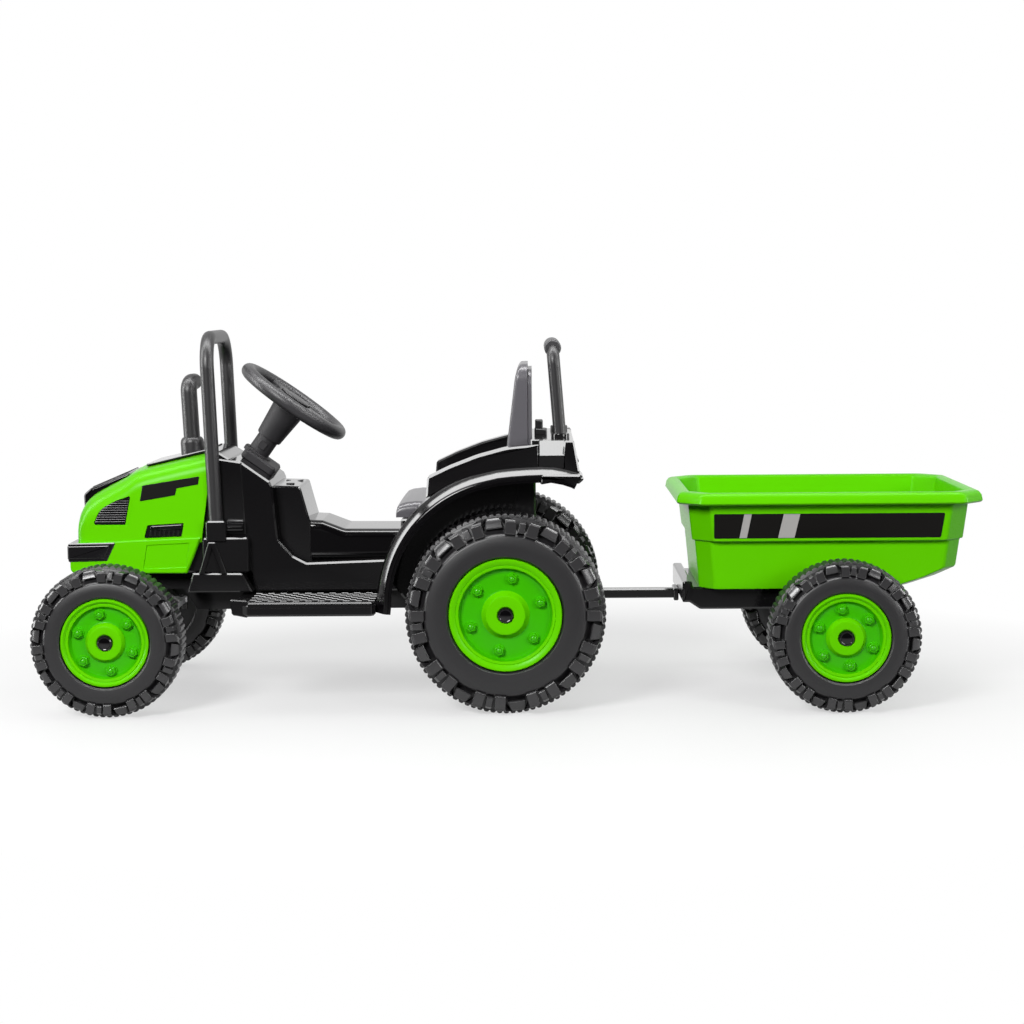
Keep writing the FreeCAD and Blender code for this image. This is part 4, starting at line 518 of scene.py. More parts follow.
# %% Six wheels in their places
LARGE = {"rim": 78.8, "ring": 65, "boss": 35, "crown": 28.5, "bolts": 51}
SMALL = {"rim": 61.8, "ring": 50.5, "boss": 29.5, "crown": 25, "bolts": 40}
# Sizes, and where the first pair of blocks and the first bolt stand, in degrees.
WHEELS = {"front": (SMALL, 30, 40), "rear": (LARGE, 25, 19.5), "trailer": (SMALL, 30.4, 39)}


def wheel(name, outward, sizes, tread_spin, bolt_spin):
    """All pieces of one wheel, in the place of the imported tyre."""
    low, high = (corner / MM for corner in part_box(f"{name}_tyre"))
    radius, half = (high.z - low.z) / 2, (high.y - low.y) / 2
    dish, bright = rim_shells(**sizes, half=half, spin=math.radians(bolt_spin))
    blocks = tread_shells(radius, half, math.radians(tread_spin))
    forms = {
        "tyre_form": (tyre_shells(radius, half, sizes["rim"]), TYRE, "tyre_moulding", f"{name}_tyre", 0.0),
        # The tread blocks take the lighter tread finish: painted light on the lugs.
        "tread_blocks_painted_light": (blocks, TREAD_PAINTED_LIGHT, "tyre_moulding", "", 1.2),
        "tread_teeth": (knurl(radius, half), TYRE, "tyre_moulding", "", 0.0),
        # The dish and its bolt heads take the darker green: painted shade.
        "rim_form": (dish, LIME_PAINTED_SHADE, "green_rim", f"{name}_rim", 0.0),
        "rim_ring": (bright, LIME, "green_rim", "", 0.0),
        "hub_cap": ([cap_shell(half)], GLOSS, "black_gloss", "", 0.0),
    }
    for word, (shells, look, slot, node, bevel) in forms.items():
        seated = [aimed(shell, (low + high) / 2, outward) for shell in shells]
        piece(f"{name}_{word}", seated, f"{name}_wheel", look, node, bevel)
    print(f"{name}: radius {radius:.1f} mm, half width {half:.1f} mm")


for kind, numbers in WHEELS.items():
    wheel(f"{kind}_left", (0, -1, 0), *numbers)
    wheel(f"{kind}_right", (0, 1, 0), *numbers)

# %% [markdown]
# ## Bonnet
# The bonnet is a blown shell with soft shoulders and a nose that rolls down to the bumper. A box with
# bevels would give one radius everywhere, so it is stacked from cross-sections from nose to dash, each
# with its own height, width and shoulder. Pockets for the vents are then cut out of its sides, and a
# slanting cut leaves the ledge under the front vents.

# %% Bonnet shell
BONNET_FOOT = 231
CROWN_SHARE = 0.13
REAR_BREAK, REAR_LEAN = 307, 0.14
# Each station from the nose on: x, top, half width, shoulder radius.
STATIONS = [
    (-624.6, 258, 85, 14), (-623.8, 267, 88.6, 21), (-621.5, 277, 91.5, 26),
    (-617.5, 286, 94, 30), (-612, 294, 96, 32), (-604, 301, 98, 33), (-592, 308, 99.3, 33),
    (-575, 316.5, 100, 32), (-556, 326, 100, 30), (-546, 332, 100, 29), (-537, 336.6, 100, 28),
    (-526, 339, 100, 27), (-500, 344.8, 100, 26), (-470, 351.6, 100, 26), (-446, 357, 100, 26),
    (-434, 359.6, 100, 26),
]


def section(x, foot, top, half, shoulder, crown):
    """One upright cross-section with rounded shoulders and a slightly crowned top."""
    spring = top - shoulder - crown
    left = [(-half, foot + (spring - foot) * step / 4) for step in range(5)]
    for step in range(1, 9):
        bend = math.pi / 2 * step / 8
        left.append((-half + shoulder * (1 - math.cos(bend)), spring + shoulder * math.sin(bend)))
    edge = half - shoulder
    left += [(-edge * (1 - step / 4), top - crown * (1 - step / 4) ** 2) for step in range(1, 5)]
    return [(x, y, z) for y, z in left + [(-y, z) for y, z in reversed(left[:-1])]]


sections = [section(x, BONNET_FOOT, top, half, shoulder, CROWN_SHARE * shoulder)
            for x, top, half, shoulder in STATIONS]
sections[-1] = [(x - max(0, REAR_BREAK - z) * REAR_LEAN, y, z) for x, y, z in sections[-1]]
FRONT_VENT = outline((-600, 256.8, 3), (-553.8, 256.5, 2), (-545, 299, 2), (-569, 290.5, 60),
                     (-590, 279, 30))
SIDE_LOUVRE = outline((-527, 237, 2), (-522, 256, 2.5), (-469, 259, 2), (-473, 239, 2))
ledge = stacked([
    [(-640, -98.2, 253.4), (-549, -98.2, 255.2), (-549, -106, 255.2), (-640, -106, 253.4)],
    [(-640, -100.4, 300), (-538, -100.4, 302), (-538, -106, 302), (-640, -106, 300)],
])
pockets = both(ledge, plate(FRONT_VENT, -110, -96, edge=0.2), plate(SIDE_LOUVRE, -110, -95, edge=0.2))
piece("bonnet_shell", [stacked(sections)], look=LIME, node="bonnet", cuts=pockets)
print(f"bonnet from {len(sections)} sections")

# %% [markdown]
# ## Vents, louvres, bare plates and trim
# The front vents are quarter-round grilles of fine slats, and the louvres behind them have a glossy
# bulge over short upright slats. Above them lies a stepped black plate, left bare here. The slats are
# separate bars on a dark backing, because a bump would go flat at the grille's outline.

# %% Vents and louvres
VENT_FOOT, SLAT_PITCH, SLAT = 256.8, 3.3, 1.7


def ends_at(points, height):
    """The left and right end of an outline at a height, or nothing where it isn't crossed twice."""
    hits = [a.x + (b.x - a.x) * (height - a.y) / (b.y - a.y)
            for a, b in zip(points, points[1:] + points[:1]) if (a.y - height) * (b.y - height) < 0]
    return (min(hits), max(hits)) if len(hits) > 1 else None


grille = [plate(drawn_in(FRONT_VENT, 0.3), -98.6, -94, edge=0.4)]
for row in range(1, 13):
    low = VENT_FOOT + SLAT_PITCH * row
    lower, upper = ends_at(FRONT_VENT, low), ends_at(FRONT_VENT, low + SLAT)
    if lower and upper:
        slat = outline((lower[0] + 1, low), (lower[1] - 1, low), (upper[1] - 1, low + SLAT),
                       (upper[0] + 1, low + SLAT))
        grille.append(plate(slat, -99.5, -97, edge=0.5))
piece("front_vent_grilles", both(*grille), look=SMOKED, node="side_vents")

louvre = [plate(drawn_in(SIDE_LOUVRE, 0.3), -97.2, -92, edge=0.4)]
bulge = outline((-519.5, 249, 2.5), (-517, 255.5, 3), (-470.6, 258, 2), (-472, 249.5, 2))
louvre.append(plate(bulge, -100.6, -95, edge=2.6, steps=5))
for slat in range(7):
    x = -520 + 6.6 * slat
    upright = outline((x, 239.6), (x + 3.6, 239.8), (x + 4.6, 248.2), (x + 1, 248))
    louvre.append(plate(upright, -99, -95, edge=0.8))
piece("louvre_panels", both(*louvre), node="engine_louvres")
print(f"{len(grille) - 1} slats in each front vent")

# %% Bare plates, nose cap and top trim
PLATE = outline((-527.6, 313, 1.2), (-445.5, 325.9, 1.2), (-447.6, 314.2, 1.2), (-478.6, 308.6, 1.2),
                (-481, 298.8, 1.2), (-531.7, 290.4, 1.2))
piece("bonnet_plates", both(plate(PLATE, -100.7, -99, edge=0.4)), look=PRINT)

nose = outline((-620.6, 278, 2), (-621.4, 297, 8), (-611, 306, 10), (-554, 329.2, 3), (-552, 322),
               (-578, 308), (-600, 292), (-612, 276))
rib = outline((-610.5, 305.2), (-558, 328), (-558, 329.6, 1), (-611, 307.2, 1))
nose_ribs = [plate(rib, y - 2, y + 2, edge=0.8) for y in range(-40, 41, 16)]
piece("nose_cap", [plate(nose, -58, 58, edge=4, steps=4), *nose_ribs], node="nose_grille")
trim = outline((-528, 337.5), (-434.6, 358.4), (-434.6, 363, 1), (-528, 341.4, 1.5))
piece("bonnet_strip", [plate(trim, -60, 60, edge=1.5)], node="bonnet_top_trim")
print("plates, nose cap and strip are on the bonnet")

# %% [markdown]
# ## Lower nose and lamps
# The lower nose stands a little proud of the bonnet, so its upper rim catches the light as a thin line.
# A shallow panel is sunk into each side. The lamps are dark lenses in black surrounds that run round
# the corners.

# %% Lower nose and lamps
lower = outline((-634, 230, 3), (-634, 187, 8), (-466, 186, 2), (-443.5, 238.6, 2), (-575, 233.2, 2),
                (-620, 231))
panel = outline((-523, 227.5, 2), (-461, 230.5, 2), (-466.5, 194.5, 2), (-529, 192.5, 2))
piece("lower_nose", [plate(lower, -102.5, 102.5, edge=2.6, steps=3)], look=LIME,
      node="front_bumper", cuts=both(plate(panel, -110, -100.9, edge=0.6)))
surround = outline((-636, 230.6, 2.5), (-636, 203.6, 2.5), (-580.5, 204.9, 1.5), (-567.5, 231.4, 1.5))
lens = outline((-637, 227.6, 2), (-637, 207, 2), (-584, 207.8, 1.5), (-573.5, 228.6, 1.5))
piece("lamp_surrounds", both(plate(surround, -104.2, -44, edge=1.4)), node="headlights")
piece("lamp_lenses", both(plate(lens, -104.9, -48, edge=2.2)), look=SMOKED)
print("lower nose and lamps")

# %% [markdown]
# ## Exhaust and roll bar
# The exhaust is a satin pipe in a thick collar, with an elbow at its top. The roll bar is one bent tube
# that stands in two sockets beside the dash and is held by a knob on each side. Both are bars along a
# path with round bends.

# %% Exhaust
EXHAUST_FOOT = Vector((-469.5, 0, 353))
EXHAUST_LEAN = Vector((-0.047, 0, 1)).normalized()
PIPE = 12
collar = turned([(17.2, -6), (17.2, 15), (16.6, 19), (14.6, 22.2), (12.9, 23.2), (0, 23.2)], 40)
piece("exhaust_collar", [aimed(collar, EXHAUST_FOOT, EXHAUST_LEAN)], look=SATIN, node="exhaust_base")
bend = EXHAUST_FOOT + EXHAUST_LEAN * 104
elbow_end = bend + Vector((5, 25, 0))
pipe = route(tuple(EXHAUST_FOOT + EXHAUST_LEAN * 20), (*bend, 15), tuple(elbow_end))
away = (elbow_end - bend).normalized()
mouth = turned([(PIPE, -4), (PIPE, 0.5), (11.3, 1.4), (9.7, 1.4), (9, 0.6), (9, -4)], 28, ring=True)
floor_disc = turned([(0, -3.6), (9.4, -3.6), (9.4, -3), (0, -3)], 28)
piece("exhaust_pipe", [bar(pipe[:-1] + [elbow_end - away * 3], PIPE), aimed(mouth, elbow_end, away),
                       aimed(floor_disc, elbow_end, away)],
      look=SATIN, node="exhaust_stack")
print(f"exhaust top at {bend.z + PIPE:.0f} mm")

# %% Roll bar and its knobs
ROLL_TOP, ROLL_BEND, ROLL_BAR = 522.8, 44, 10
FLUTES = 15
low, high = (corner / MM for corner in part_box("roll_bar"))
roll_x, roll_y = (low.x + high.x) / 2, (high.y - low.y) / 2 - 9
roll = route((roll_x + 3, -roll_y, low.z + 2), (roll_x - 9, -roll_y, ROLL_TOP, ROLL_BEND),
             (roll_x - 9, roll_y, ROLL_TOP, ROLL_BEND), (roll_x + 3, roll_y, low.z + 2), steps=12)
piece("roll_bar_tube", [bar(roll, ROLL_BAR, 28)], look=SATIN, node="roll_bar")

grip = [(8.4 + 0.35 * math.cos(FLUTES * turn), turn) for turn in circle(60)]
heights = [(0.0, 0), (0.95, 0), (1.0, 1.5), (1.0, 21), (0.93, 23), (0.8, 23.8), (0.0, 24)]
knob = stacked([[((radius * share) * math.cos(turn), (radius * share) * math.sin(turn), height)
                 for radius, turn in grip] for share, height in heights])
piece("bar_knobs", both(aimed(knob, (roll_x + 17, -roll_y, 254), (1, 0, 0))), node="roll_bar_knobs")
print(f"roll bar at x {roll_x:.0f}, y {roll_y:.0f}")

# %% [markdown]
# ## Cowl, dash, console and tunnel
# Behind the bonnet a large black moulding carries the dash, steps down to a console with the switches,
# and runs on as a tunnel to the seat. It is built from a few plates with different widths: where a wide
# one meets a narrow one, the real moulding has a ledge that shows as a bright line. A low hood closes the
# step between bonnet and dash.

# %% Cowl forms
wide = outline((-470, 186), (-452, 236), (-441, 300), (-440, 351, 2), (-388, 346.5, 4), (-346, 317, 4),
               (-343, 310, 3), (-335.7, 233, 10), (-314, 209, 8), (-295, 199, 6), (-160, 203.5), (-160, 158),
               (-366, 158), (-376, 186, 3))
front_cheek = outline((-440, 240), (-440, 300), (-436, 353, 2), (-386, 345, 2), (-381, 240))
console = outline((-352, 300), (-347, 309, 3), (-305, 307.5, 5), (-290, 252), (-290, 190), (-352, 190))
tunnel = outline((-325, 200), (-325, 259.8), (-274, 257, 10), (-242, 244.6, 16), (-150, 244), (-150, 200))
hood = outline((-440, 340), (-438, 361.5, 2), (-421, 359.5, 3), (-404, 349, 4), (-404, 340))
cheek = plate(front_cheek, -93.2, -80, edge=2)
low_ledge = plate(outline((-464, 160), (-456, 187.6, 2), (-385, 187, 6), (-371, 160)), -113, -84, edge=2)
socket = plate(outline((-437, -86), (-437, -113, 5), (-407, -113, 5), (-407, -86)), 232, 262.5, plane="XY")
socket_foot = plate(outline((-442, -84), (-442, -112, 4), (-376, -106, 5), (-374, -84)), 187, 238, edge=2.2,
                    plane="XY")
skirt = plate(outline((-447, 187), (-433, 232, 2), (-423, 232, 2), (-407, 187), (-415, 187), (-428, 222),
                      (-439, 187)), -114, -108, edge=1.2)
cowl = [plate(wide, -91.5, 91.5, edge=2.6), plate(console, -66, 66, edge=2.4),
        plate(tunnel, -65, 65, edge=12, steps=8), plate(hood, -82, 82, edge=2.4)]
cowl += both(cheek, socket, socket_foot, skirt, low_ledge)
piece("cowl_moulding", cowl, node="cowl")
print(f"cowl from {len(cowl)} forms")

# %% [markdown]
# ## Steering wheel and column
# The wheel is a grained ring on three flat spokes with a horn pad in the middle. Its long boss slides
# over the column tube, and the tube stands in a raised block on the sloping dash. Everything turns about
# the slanting column, so these forms are made upright and then aimed along it.

# %% Steering wheel
COLUMN = Vector((0.58274, 0, 0.81266))
WHEEL_HUB = Vector((-319.2, 0, 427.7))
RING, TUBE = 80.2, 10


def on_column(shell):
    """A form along the column, measured from the wheel's ring."""
    return aimed(shell, WHEEL_HUB, COLUMN)


ring = turned([(RING + TUBE * math.cos(turn), TUBE * math.sin(turn)) for turn in circle(20)], 96, ring=True)
spoke = plate(outline((20, -15), (52, -10, 20), (78, -15), (78, 15), (52, 10, 20), (20, 15)), -5, 4.5,
              edge=2.2, plane="XY")
arms = [aimed(spoke, (0, 0, 0), spin=turn) for turn in circle(3)]
piece("steering_ring", [on_column(shell) for shell in (ring, *arms)], "steering_wheel", GRAIN,
      "steering_wheel")
boss = turned([(24.6, 6), (24.6, 3), (30.5, 3.0), (31.5, 1.5), (31.5, -5), (26, -9), (24.6, -14), (19.4, -64),
               (18.2, -66), (16.2, -66), (16.2, -30), (5.2, -30), (5.2, -6), (24.6, -6)], 48, ring=True)
piece("steering_boss", [on_column(boss)], "steering_wheel", DULL)
pad = turned([(0, -3), (23.6, -3), (23.6, 5), (22.4, 7), (18, 8.2), (0, 9)], 40)
piece("horn_cover", [on_column(pad)], "horn_pad", GRAIN, "horn_pad")
print(f"wheel hub at {WHEEL_HUB.z:.0f} mm")

# %% Column tube and its block on the dash
tube = turned([(16, -92.6), (16, -40), (5.4, -40), (5.4, -92.6)], 40, ring=True)
clip = plate(outline((-6, -84, 1.5), (6, -84, 1.5), (6, -72, 1.5), (-6, -72, 1.5)), -17.2, -14, edge=0.6)
piece("column_sleeve", [on_column(tube), on_column(clip)], "steering_wheel", DULL)
saddle = outline((-17, -37, 7), (38, -37, 7), (38, 37, 7), (-17, 37, 7))
saddle_ring = turned([(22, -98), (22, -92.6), (20.5, -90.8), (16.6, -90.8), (16.6, -98)], 40, ring=True)
saddle_block = plate(saddle, -108, -93.2, edge=3, plane="XY")
piece("column_block", [on_column(saddle_ring), on_column(saddle_block)], look=DULL, node="column_collar")
print("column tube and block")

# %% [markdown]
# ## Running boards
# A board hangs on each side of the tray between the wheels, with a raised tread of short bars so that
# shoes don't slip. Each bar is a small plate with rounded rims. The right board has none under the pedal.

# %% Boards with their tread
ROWS, COLUMNS = 9, 10
ROW_PITCH, COLUMN_PITCH = 11.6, 17.6
BAR_LONG, BAR_WIDE = 11, 3.4
PEDAL_FRONT, PEDAL_SIDE = -236, -125
board = plate(outline((-390, -72), (-390, -196, 3), (-366, -210, 6), (-194, -210, 6), (-188, -204, 3),
                      (-188, -72)), 138, 155.4, edge=3, plane="XY")
rim_bar = plate(outline((-366, -210.4, 2), (-192, -210.4, 2), (-192, -202), (-366, -202)), 148, 158.4,
                edge=2.6, plane="XY")
bracket = plate(outline((-390, 150), (-390, 162, 2), (-366, 160, 2), (-366, 136, 2), (-386, 140, 2)),
                -206, -190, edge=1.5)
tread, clear = [], []
for row in range(ROWS):
    for column in range(COLUMNS):
        x = -368 + COLUMN_PITCH * column + (COLUMN_PITCH / 2 if row % 2 else 0)
        y = -102 - ROW_PITCH * row
        flat = outline((x, y, 1.2), (x + BAR_LONG, y, 1.2), (x + BAR_LONG, y + BAR_WIDE, 1.2),
                       (x, y + BAR_WIDE, 1.2), steps=2)
        tread.append(plate(flat, 154.6, 156.8, edge=0.8, plane="XY"))
        if x >= PEDAL_FRONT or y + BAR_WIDE >= PEDAL_SIDE:
            clear.append(tread[-1])
piece("left_board", [board, rim_bar, bracket, *tread], node="step_left")
piece("right_board", [far_side(shell) for shell in (board, rim_bar, bracket, *clear)], node="step_right")
print(f"{len(tread)} tread bars on the left board, {len(clear)} round the pedal")

# %% [markdown]
# ## Fenders
# A fender is one moulding that rolls over the wheel, with a heavy rounded rim that shows as a white
# stripe in the studio, an inner wall beside the seat and an armrest on top. The rolled part is a profile
# carried along the arch, and the rest are plates.

# %% Fender forms
ARCH = (1, 150)


def arch_path(radius, first, last, steps):
    """Points on the wheel arch between two angles in degrees."""
    angles = [math.radians(first + (last - first) * step / steps) for step in range(steps + 1)]
    return [Vector((ARCH[0] + radius * math.cos(a), ARCH[1] + radius * math.sin(a))) for a in angles]


def carried(path, profile):
    """A profile of (outward, y) carried along a path in the XZ plane."""
    loops = []
    for index, here in enumerate(path):
        ahead = (path[min(index + 1, len(path) - 1)] - path[max(index - 1, 0)]).normalized()
        outward = Vector((-ahead.y, ahead.x))
        loops.append([(here.x + outward.x * n, y, here.y + outward.y * n) for n, y in profile])
    return stacked(loops)


rim_profile = [
    (1.2, -131), (1.2, -187.4), (-0.4, -188), (-0.4, -189.2), (1.3, -190), (1.0, -192), (-1.8, -195.6),
    (-5, -199.2), (-8.2, -202.6), (-10, -204.4), (-12, -205), (-15, -205), (-15.6, -204), (-18.6, -204),
    (-19.6, -203), (-19.6, -199), (-9, -190), (-7, -131),
]
path = outline((-187, 141)) + arch_path(187, 180, 102, 26) + outline(
    (-18, 337.4), (2, 339.6), (24, 341), (44, 341.6), (60, 341), (78, 337.6), (92, 333), (98, 330))
wall = outline((-152, 152)) + arch_path(178, 170, 101, 16) + outline((36, 334), (36, 170), (-60, 152))
ridge = outline((-118.5, 298), (-116, 327.6, 5), (-85, 342.2, 60), (-46.5, 357, 120), (-4, 368.4, 120),
                (41, 372.4, 1), (41, 330), (-50, 325))
tail_end = outline((72, 330), (74, 362, 14), (76, 377.6, 3), (90, 377.6, 4), (98, 332, 3))
tail_front = outline((-168, 330), (-168, 357), (-148, 376.6), (-128, 377), (-128, 330))
tail_lip = outline((42, 319, 3), (42, 334), (98, 333, 2), (104, 327, 4), (96, 320, 4), (66, 323, 6))
fender = [
    carried(path, rim_profile), plate(wall, -137, -131, edge=2.8), plate(ridge, -168, -131, edge=2.6),
    plate(tail_end, -168, -128, edge=2.4), plate(tail_front, 40.6, 78, edge=1.2, plane="YZ"),
    plate(tail_lip, -205, -125, edge=3),
]
piece("left_fender", fender, node="fender_left")
piece("right_fender", [far_side(shell) for shell in fender], node="fender_right")
print(f"arch from {len(path)} points")

# %% [markdown]
# ## Seat, backrest and rear handle
# The seat is a satin shell with a raised front lip, and the backrest is a cushion-like front moulding
# closed by a rear shell, with a seam between them. Behind it stands a bent handle with a thick grip.

# %% Seat and backrest
SEAT_FOOT, SEAT_HALF = 267, 122
# Each station from the front lip on: x, top, shoulder radius.
SEAT = [(-163, 276, 5), (-161.6, 282, 8), (-157.5, 286.4, 11), (-150, 289, 12), (-136, 290.6, 12),
        (-110, 290, 12), (-64, 287.6, 10), (-10, 284.8, 8), (29, 284.6, 8)]
seat = [section(x, SEAT_FOOT, top, SEAT_HALF, shoulder, 1) for x, top, shoulder in SEAT]
piece("seat_shell", [stacked(seat)], look=SEATING, node="seat")
BACK_FOOT, BACK_ROUND = 284.5, 24


def back_shell(front, lean, rear, half, top, soft_front, soft_rear):
    """One shell of the backrest, from its foot to its rounded top."""
    loops = []
    for step in range(21):
        bend = math.pi / 2 * max(0, step - 10) / 10
        drawn = 1 - math.cos(bend)
        z = BACK_FOOT + (top - BACK_FOOT - BACK_ROUND) * min(step, 10) / 10 + BACK_ROUND * math.sin(bend)
        x, y = front + lean * (z - BACK_FOOT + 60 * drawn), half - 20 * drawn
        level = outline((x, -y, soft_front), (rear, -y, soft_rear), (rear, y, soft_rear), (x, y, soft_front),
                        steps=5)
        loops.append([(*spot, z) for spot in level])
    return stacked(loops)


back = [back_shell(-15.2, 0.125, 25.2, 92, 482.4, 5, 0.8), back_shell(25.8, 0.0, 31, 90.6, 475, 0.8, 2)]
piece("backrest_shells", back, look=SEATING, node="backrest")
print("seat and backrest")

# %% Seat box, deck and latch
under = outline((-156, 188, 2), (-156, 265.6, 3), (33, 265.6), (33, 188, 2))
tail = outline((29.5, 262), (29.5, 377), (90, 377, 4), (96, 334, 3), (96, 320, 3), (36, 318, 3), (33, 314, 3),
               (33, 262))
piece("seat_base", [plate(under, -131.5, 131.5, edge=2.5), plate(tail, -131.5, 131.5, edge=1.5)],
      node="seat_box")
latch = outline((35.5, 376), (35.5, 398, 2), (47, 398, 2), (47, 376))
latch_foot = outline((34.5, 376), (34.5, 386, 2), (53, 385, 2), (53, 376))
piece("backrest_latch", [plate(latch, -14, 14, edge=1.5), plate(latch_foot, -20, 20, edge=1.5)], look=GRAIN)
print("seat box, deck and latch")

# %% Rear handle
HANDLE_LEAN = math.tan(math.radians(4.5))
DECK, HANDLE_TOP, POST_SIDE, POST = 377, 505, 100, 8.75


def handle_point(y, z):
    """A point of the leaning handle at a height."""
    return (71.5 - (z - DECK) * HANDLE_LEAN, y, z)


posts = route(handle_point(-POST_SIDE, 362), (*handle_point(-POST_SIDE, HANDLE_TOP), 22),
              (*handle_point(POST_SIDE, HANDLE_TOP), 22), handle_point(POST_SIDE, 362), steps=10)
sleeve = turned([(13, -3), (13, 5.5), (12, 7), (8.9, 7), (8.9, -3)], 32, ring=True)
grip_line = [Vector(handle_point(y, HANDLE_TOP)) for y in (-94, -93, -90, 90, 93, 94)]
piece("handle_bar", [bar(posts, POST, 28)], look=SATIN, node="rear_handle")
piece("handle_grip", [bar(grip_line, [10, 11.4, 12.2, 12.2, 11.4, 10])], look=GRAIN)
piece("handle_sleeves", [aimed(sleeve, handle_point(y, DECK)) for y in (-POST_SIDE, POST_SIDE)])
print(f"handle top at {HANDLE_TOP + POST:.0f} mm")

# %% [markdown]
# ## Trailer tub
# The tub is a deep green tray with cut corners, a rolled rim and a step half way down. It is a stack of
# eight-sided loops, down the outside and up again on the inside, so it has a real wall. A black band
# with two slanting silver bars lies on each side.

# %% Tub
TUB_STEP, SOFT = 230.5, 9


def tub_loop(z, front, rear, half):
    """One level loop of the tub, with cut corners that are smaller below its step."""
    dx, dy = (21, 25) if z < TUB_STEP else (29, 33)
    return [(x, y, z) for x, y in outline(
        (front + dx, -half, SOFT), (rear - dx, -half, SOFT), (rear, -half + dy, SOFT),
        (rear, half - dy, SOFT), (rear - dx, half, SOFT), (front + dx, half, SOFT),
        (front, half - dy, SOFT), (front, -half + dy, SOFT), steps=3)]


# Each loop down the outside and up the inside: height, front, rear, half width.
TUB = [
    (163, 270, 546, 129), (162.4, 269, 552, 130), (165, 268.4, 566, 131), (178, 267.4, 606, 132),
    (190, 266.4, 633, 133), (193, 266, 635, 133.4), (228.5, 262.6, 639.4, 136.6),
    (230.2, 262.2, 639.8, 137.4), (231, 260.4, 641.6, 141), (231.6, 258.6, 643.4, 145.6),
    (233, 258, 644, 147), (280, 252.6, 649.4, 152.4), (283, 252, 650, 153),
    (284, 249, 653, 156), (284.3, 239, 663, 166), (285.4, 236.4, 665.6, 168.6), (287.5, 235, 667, 170),
    (295.5, 236.4, 665.6, 168.6), (300, 239.6, 662.4, 165.4), (301.6, 243, 659, 162), (302, 247, 655, 158),
    (301.4, 252, 650, 153), (299, 255, 647, 150), (296, 255.8, 646.2, 149.2), (235.2, 262, 640, 143),
    (233.4, 266.2, 635.8, 134), (194, 270, 631, 129.4), (168, 273, 566, 127), (166.4, 276, 548, 124),
]
floor_ribs = [plate(outline((x, -112), (x + 6, -112), (x + 6, 112), (x, 112)), 165, 168.6, 0.8, "XY")
              for x in range(300, 540, 40)]
piece("tub_moulding", [stacked([tub_loop(*level) for level in TUB]), *floor_ribs], "trailer", LIME,
      "trailer_tub")
print(f"tub from {len(TUB)} loops")

# %% Bands on the tub
FLANK_FOOT, FLANK_HALF, FLANK_SLOPE = 233, 147, 5.4 / 47


def on_flank(corners, proud):
    """A thin sheet on the tub's slanting flank, from corners of (x, z)."""
    near = [(x, -(FLANK_HALF + (z - FLANK_FOOT) * FLANK_SLOPE) - proud, z) for x, z in corners]
    return stacked([[(x, y + 3, z) for x, y, z in near], near])


band = on_flank(outline((287, 236.5, 2), (286.5, 271.5, 2), (611, 271.5, 2), (606, 236.5, 2)), 0.7)
slim_bar = on_flank([(322.5, 237), (329, 271), (339.5, 271), (333, 237)], 1.1)
broad_bar = on_flank([(377, 237), (384.5, 271), (407.5, 271), (400, 237)], 1.1)
piece("flank_bands", both(band), "trailer", PRINT)
piece("flank_bars", both(slim_bar, broad_bar), "trailer", SILVER)
print("a band and two bars on each flank")

# %% Trailer base and drawbar
base = outline((245, 141, 2), (245, 171, 3), (259, 171, 3), (259, 163, 2), (553, 163), (548, 131, 4),
               (270, 131, 8), (255, 141, 2))
hanger = outline((446, 160), (480, 160), (476, 98, 8), (463, 91, 10), (450, 98, 8))
piece("tub_base", [plate(base, -112, 112, edge=3), *both(plate(hanger, -112, -100, edge=1.6))], "trailer",
      node="trailer_base")
beam = outline((122, -9), (244, -9, 2), (244, 9, 2), (122, 9))
flange = outline((-25, 131.5, 3), (25, 131.5, 3), (25, 149.5, 3), (-25, 149.5, 3))
eye = turned([(5.1, -7), (11.5, -7), (12, -6), (12, 6), (11.5, 7), (5.1, 7)], 40, ring=True)
piece("draw_bar", [plate(beam, 133.5, 147.5, plane="XY"), plate(flange, 238, 245, edge=1.2, plane="YZ"),
                   aimed(eye, (113, 0, 140.5))], "trailer", node="drawbar")
print("base and drawbar")

# %% [markdown]
# ## Running gear
# Axles, knuckles, gears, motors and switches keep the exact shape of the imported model, because it is
# already right. They only get finishes: zinc on steel, natural nylon on gears, black on mouldings.

# %% Finishes on the carried-over pieces
CARRIED = {
    "zinc": (STEEL, ["rear_axle", "kingpins", "tie_rod", "hitch_pin", "trailer_axle", "drive_motors"]),
    "nylon": (NYLON, ["pinion_left", "pinion_right", "drive_gear_left", "drive_gear_right"]),
    "black": (GLOSS, ["chassis", "gearbox_left", "gearbox_right", "front_axle_beam", "knuckle_left",
                      "knuckle_right", "hitch_bracket", "steering_column"]),
    "satin": (SATIN, ["accelerator_pedal", "direction_switch", "power_button"]),
    "case": (CASE, ["battery"]),
}
for word, (look, names) in CARRIED.items():
    for node in names:
        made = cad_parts[node]
        made.data.materials.clear()
        made.data.materials.append(look)
    print(word, len(names))

# %% [markdown]
# ## Studio
# The toy stands on a pale floor in front of white. The floor turns to plain white away from the toy, so
# that no horizon shows, and keeps the soft shadow close to it. Black mouldings show what they mirror, so
# reflected rays see a room that is dark in front of the toy and white behind it. Soft lights stand above
# and on both sides in front; three more draw only highlights on glossy forms.

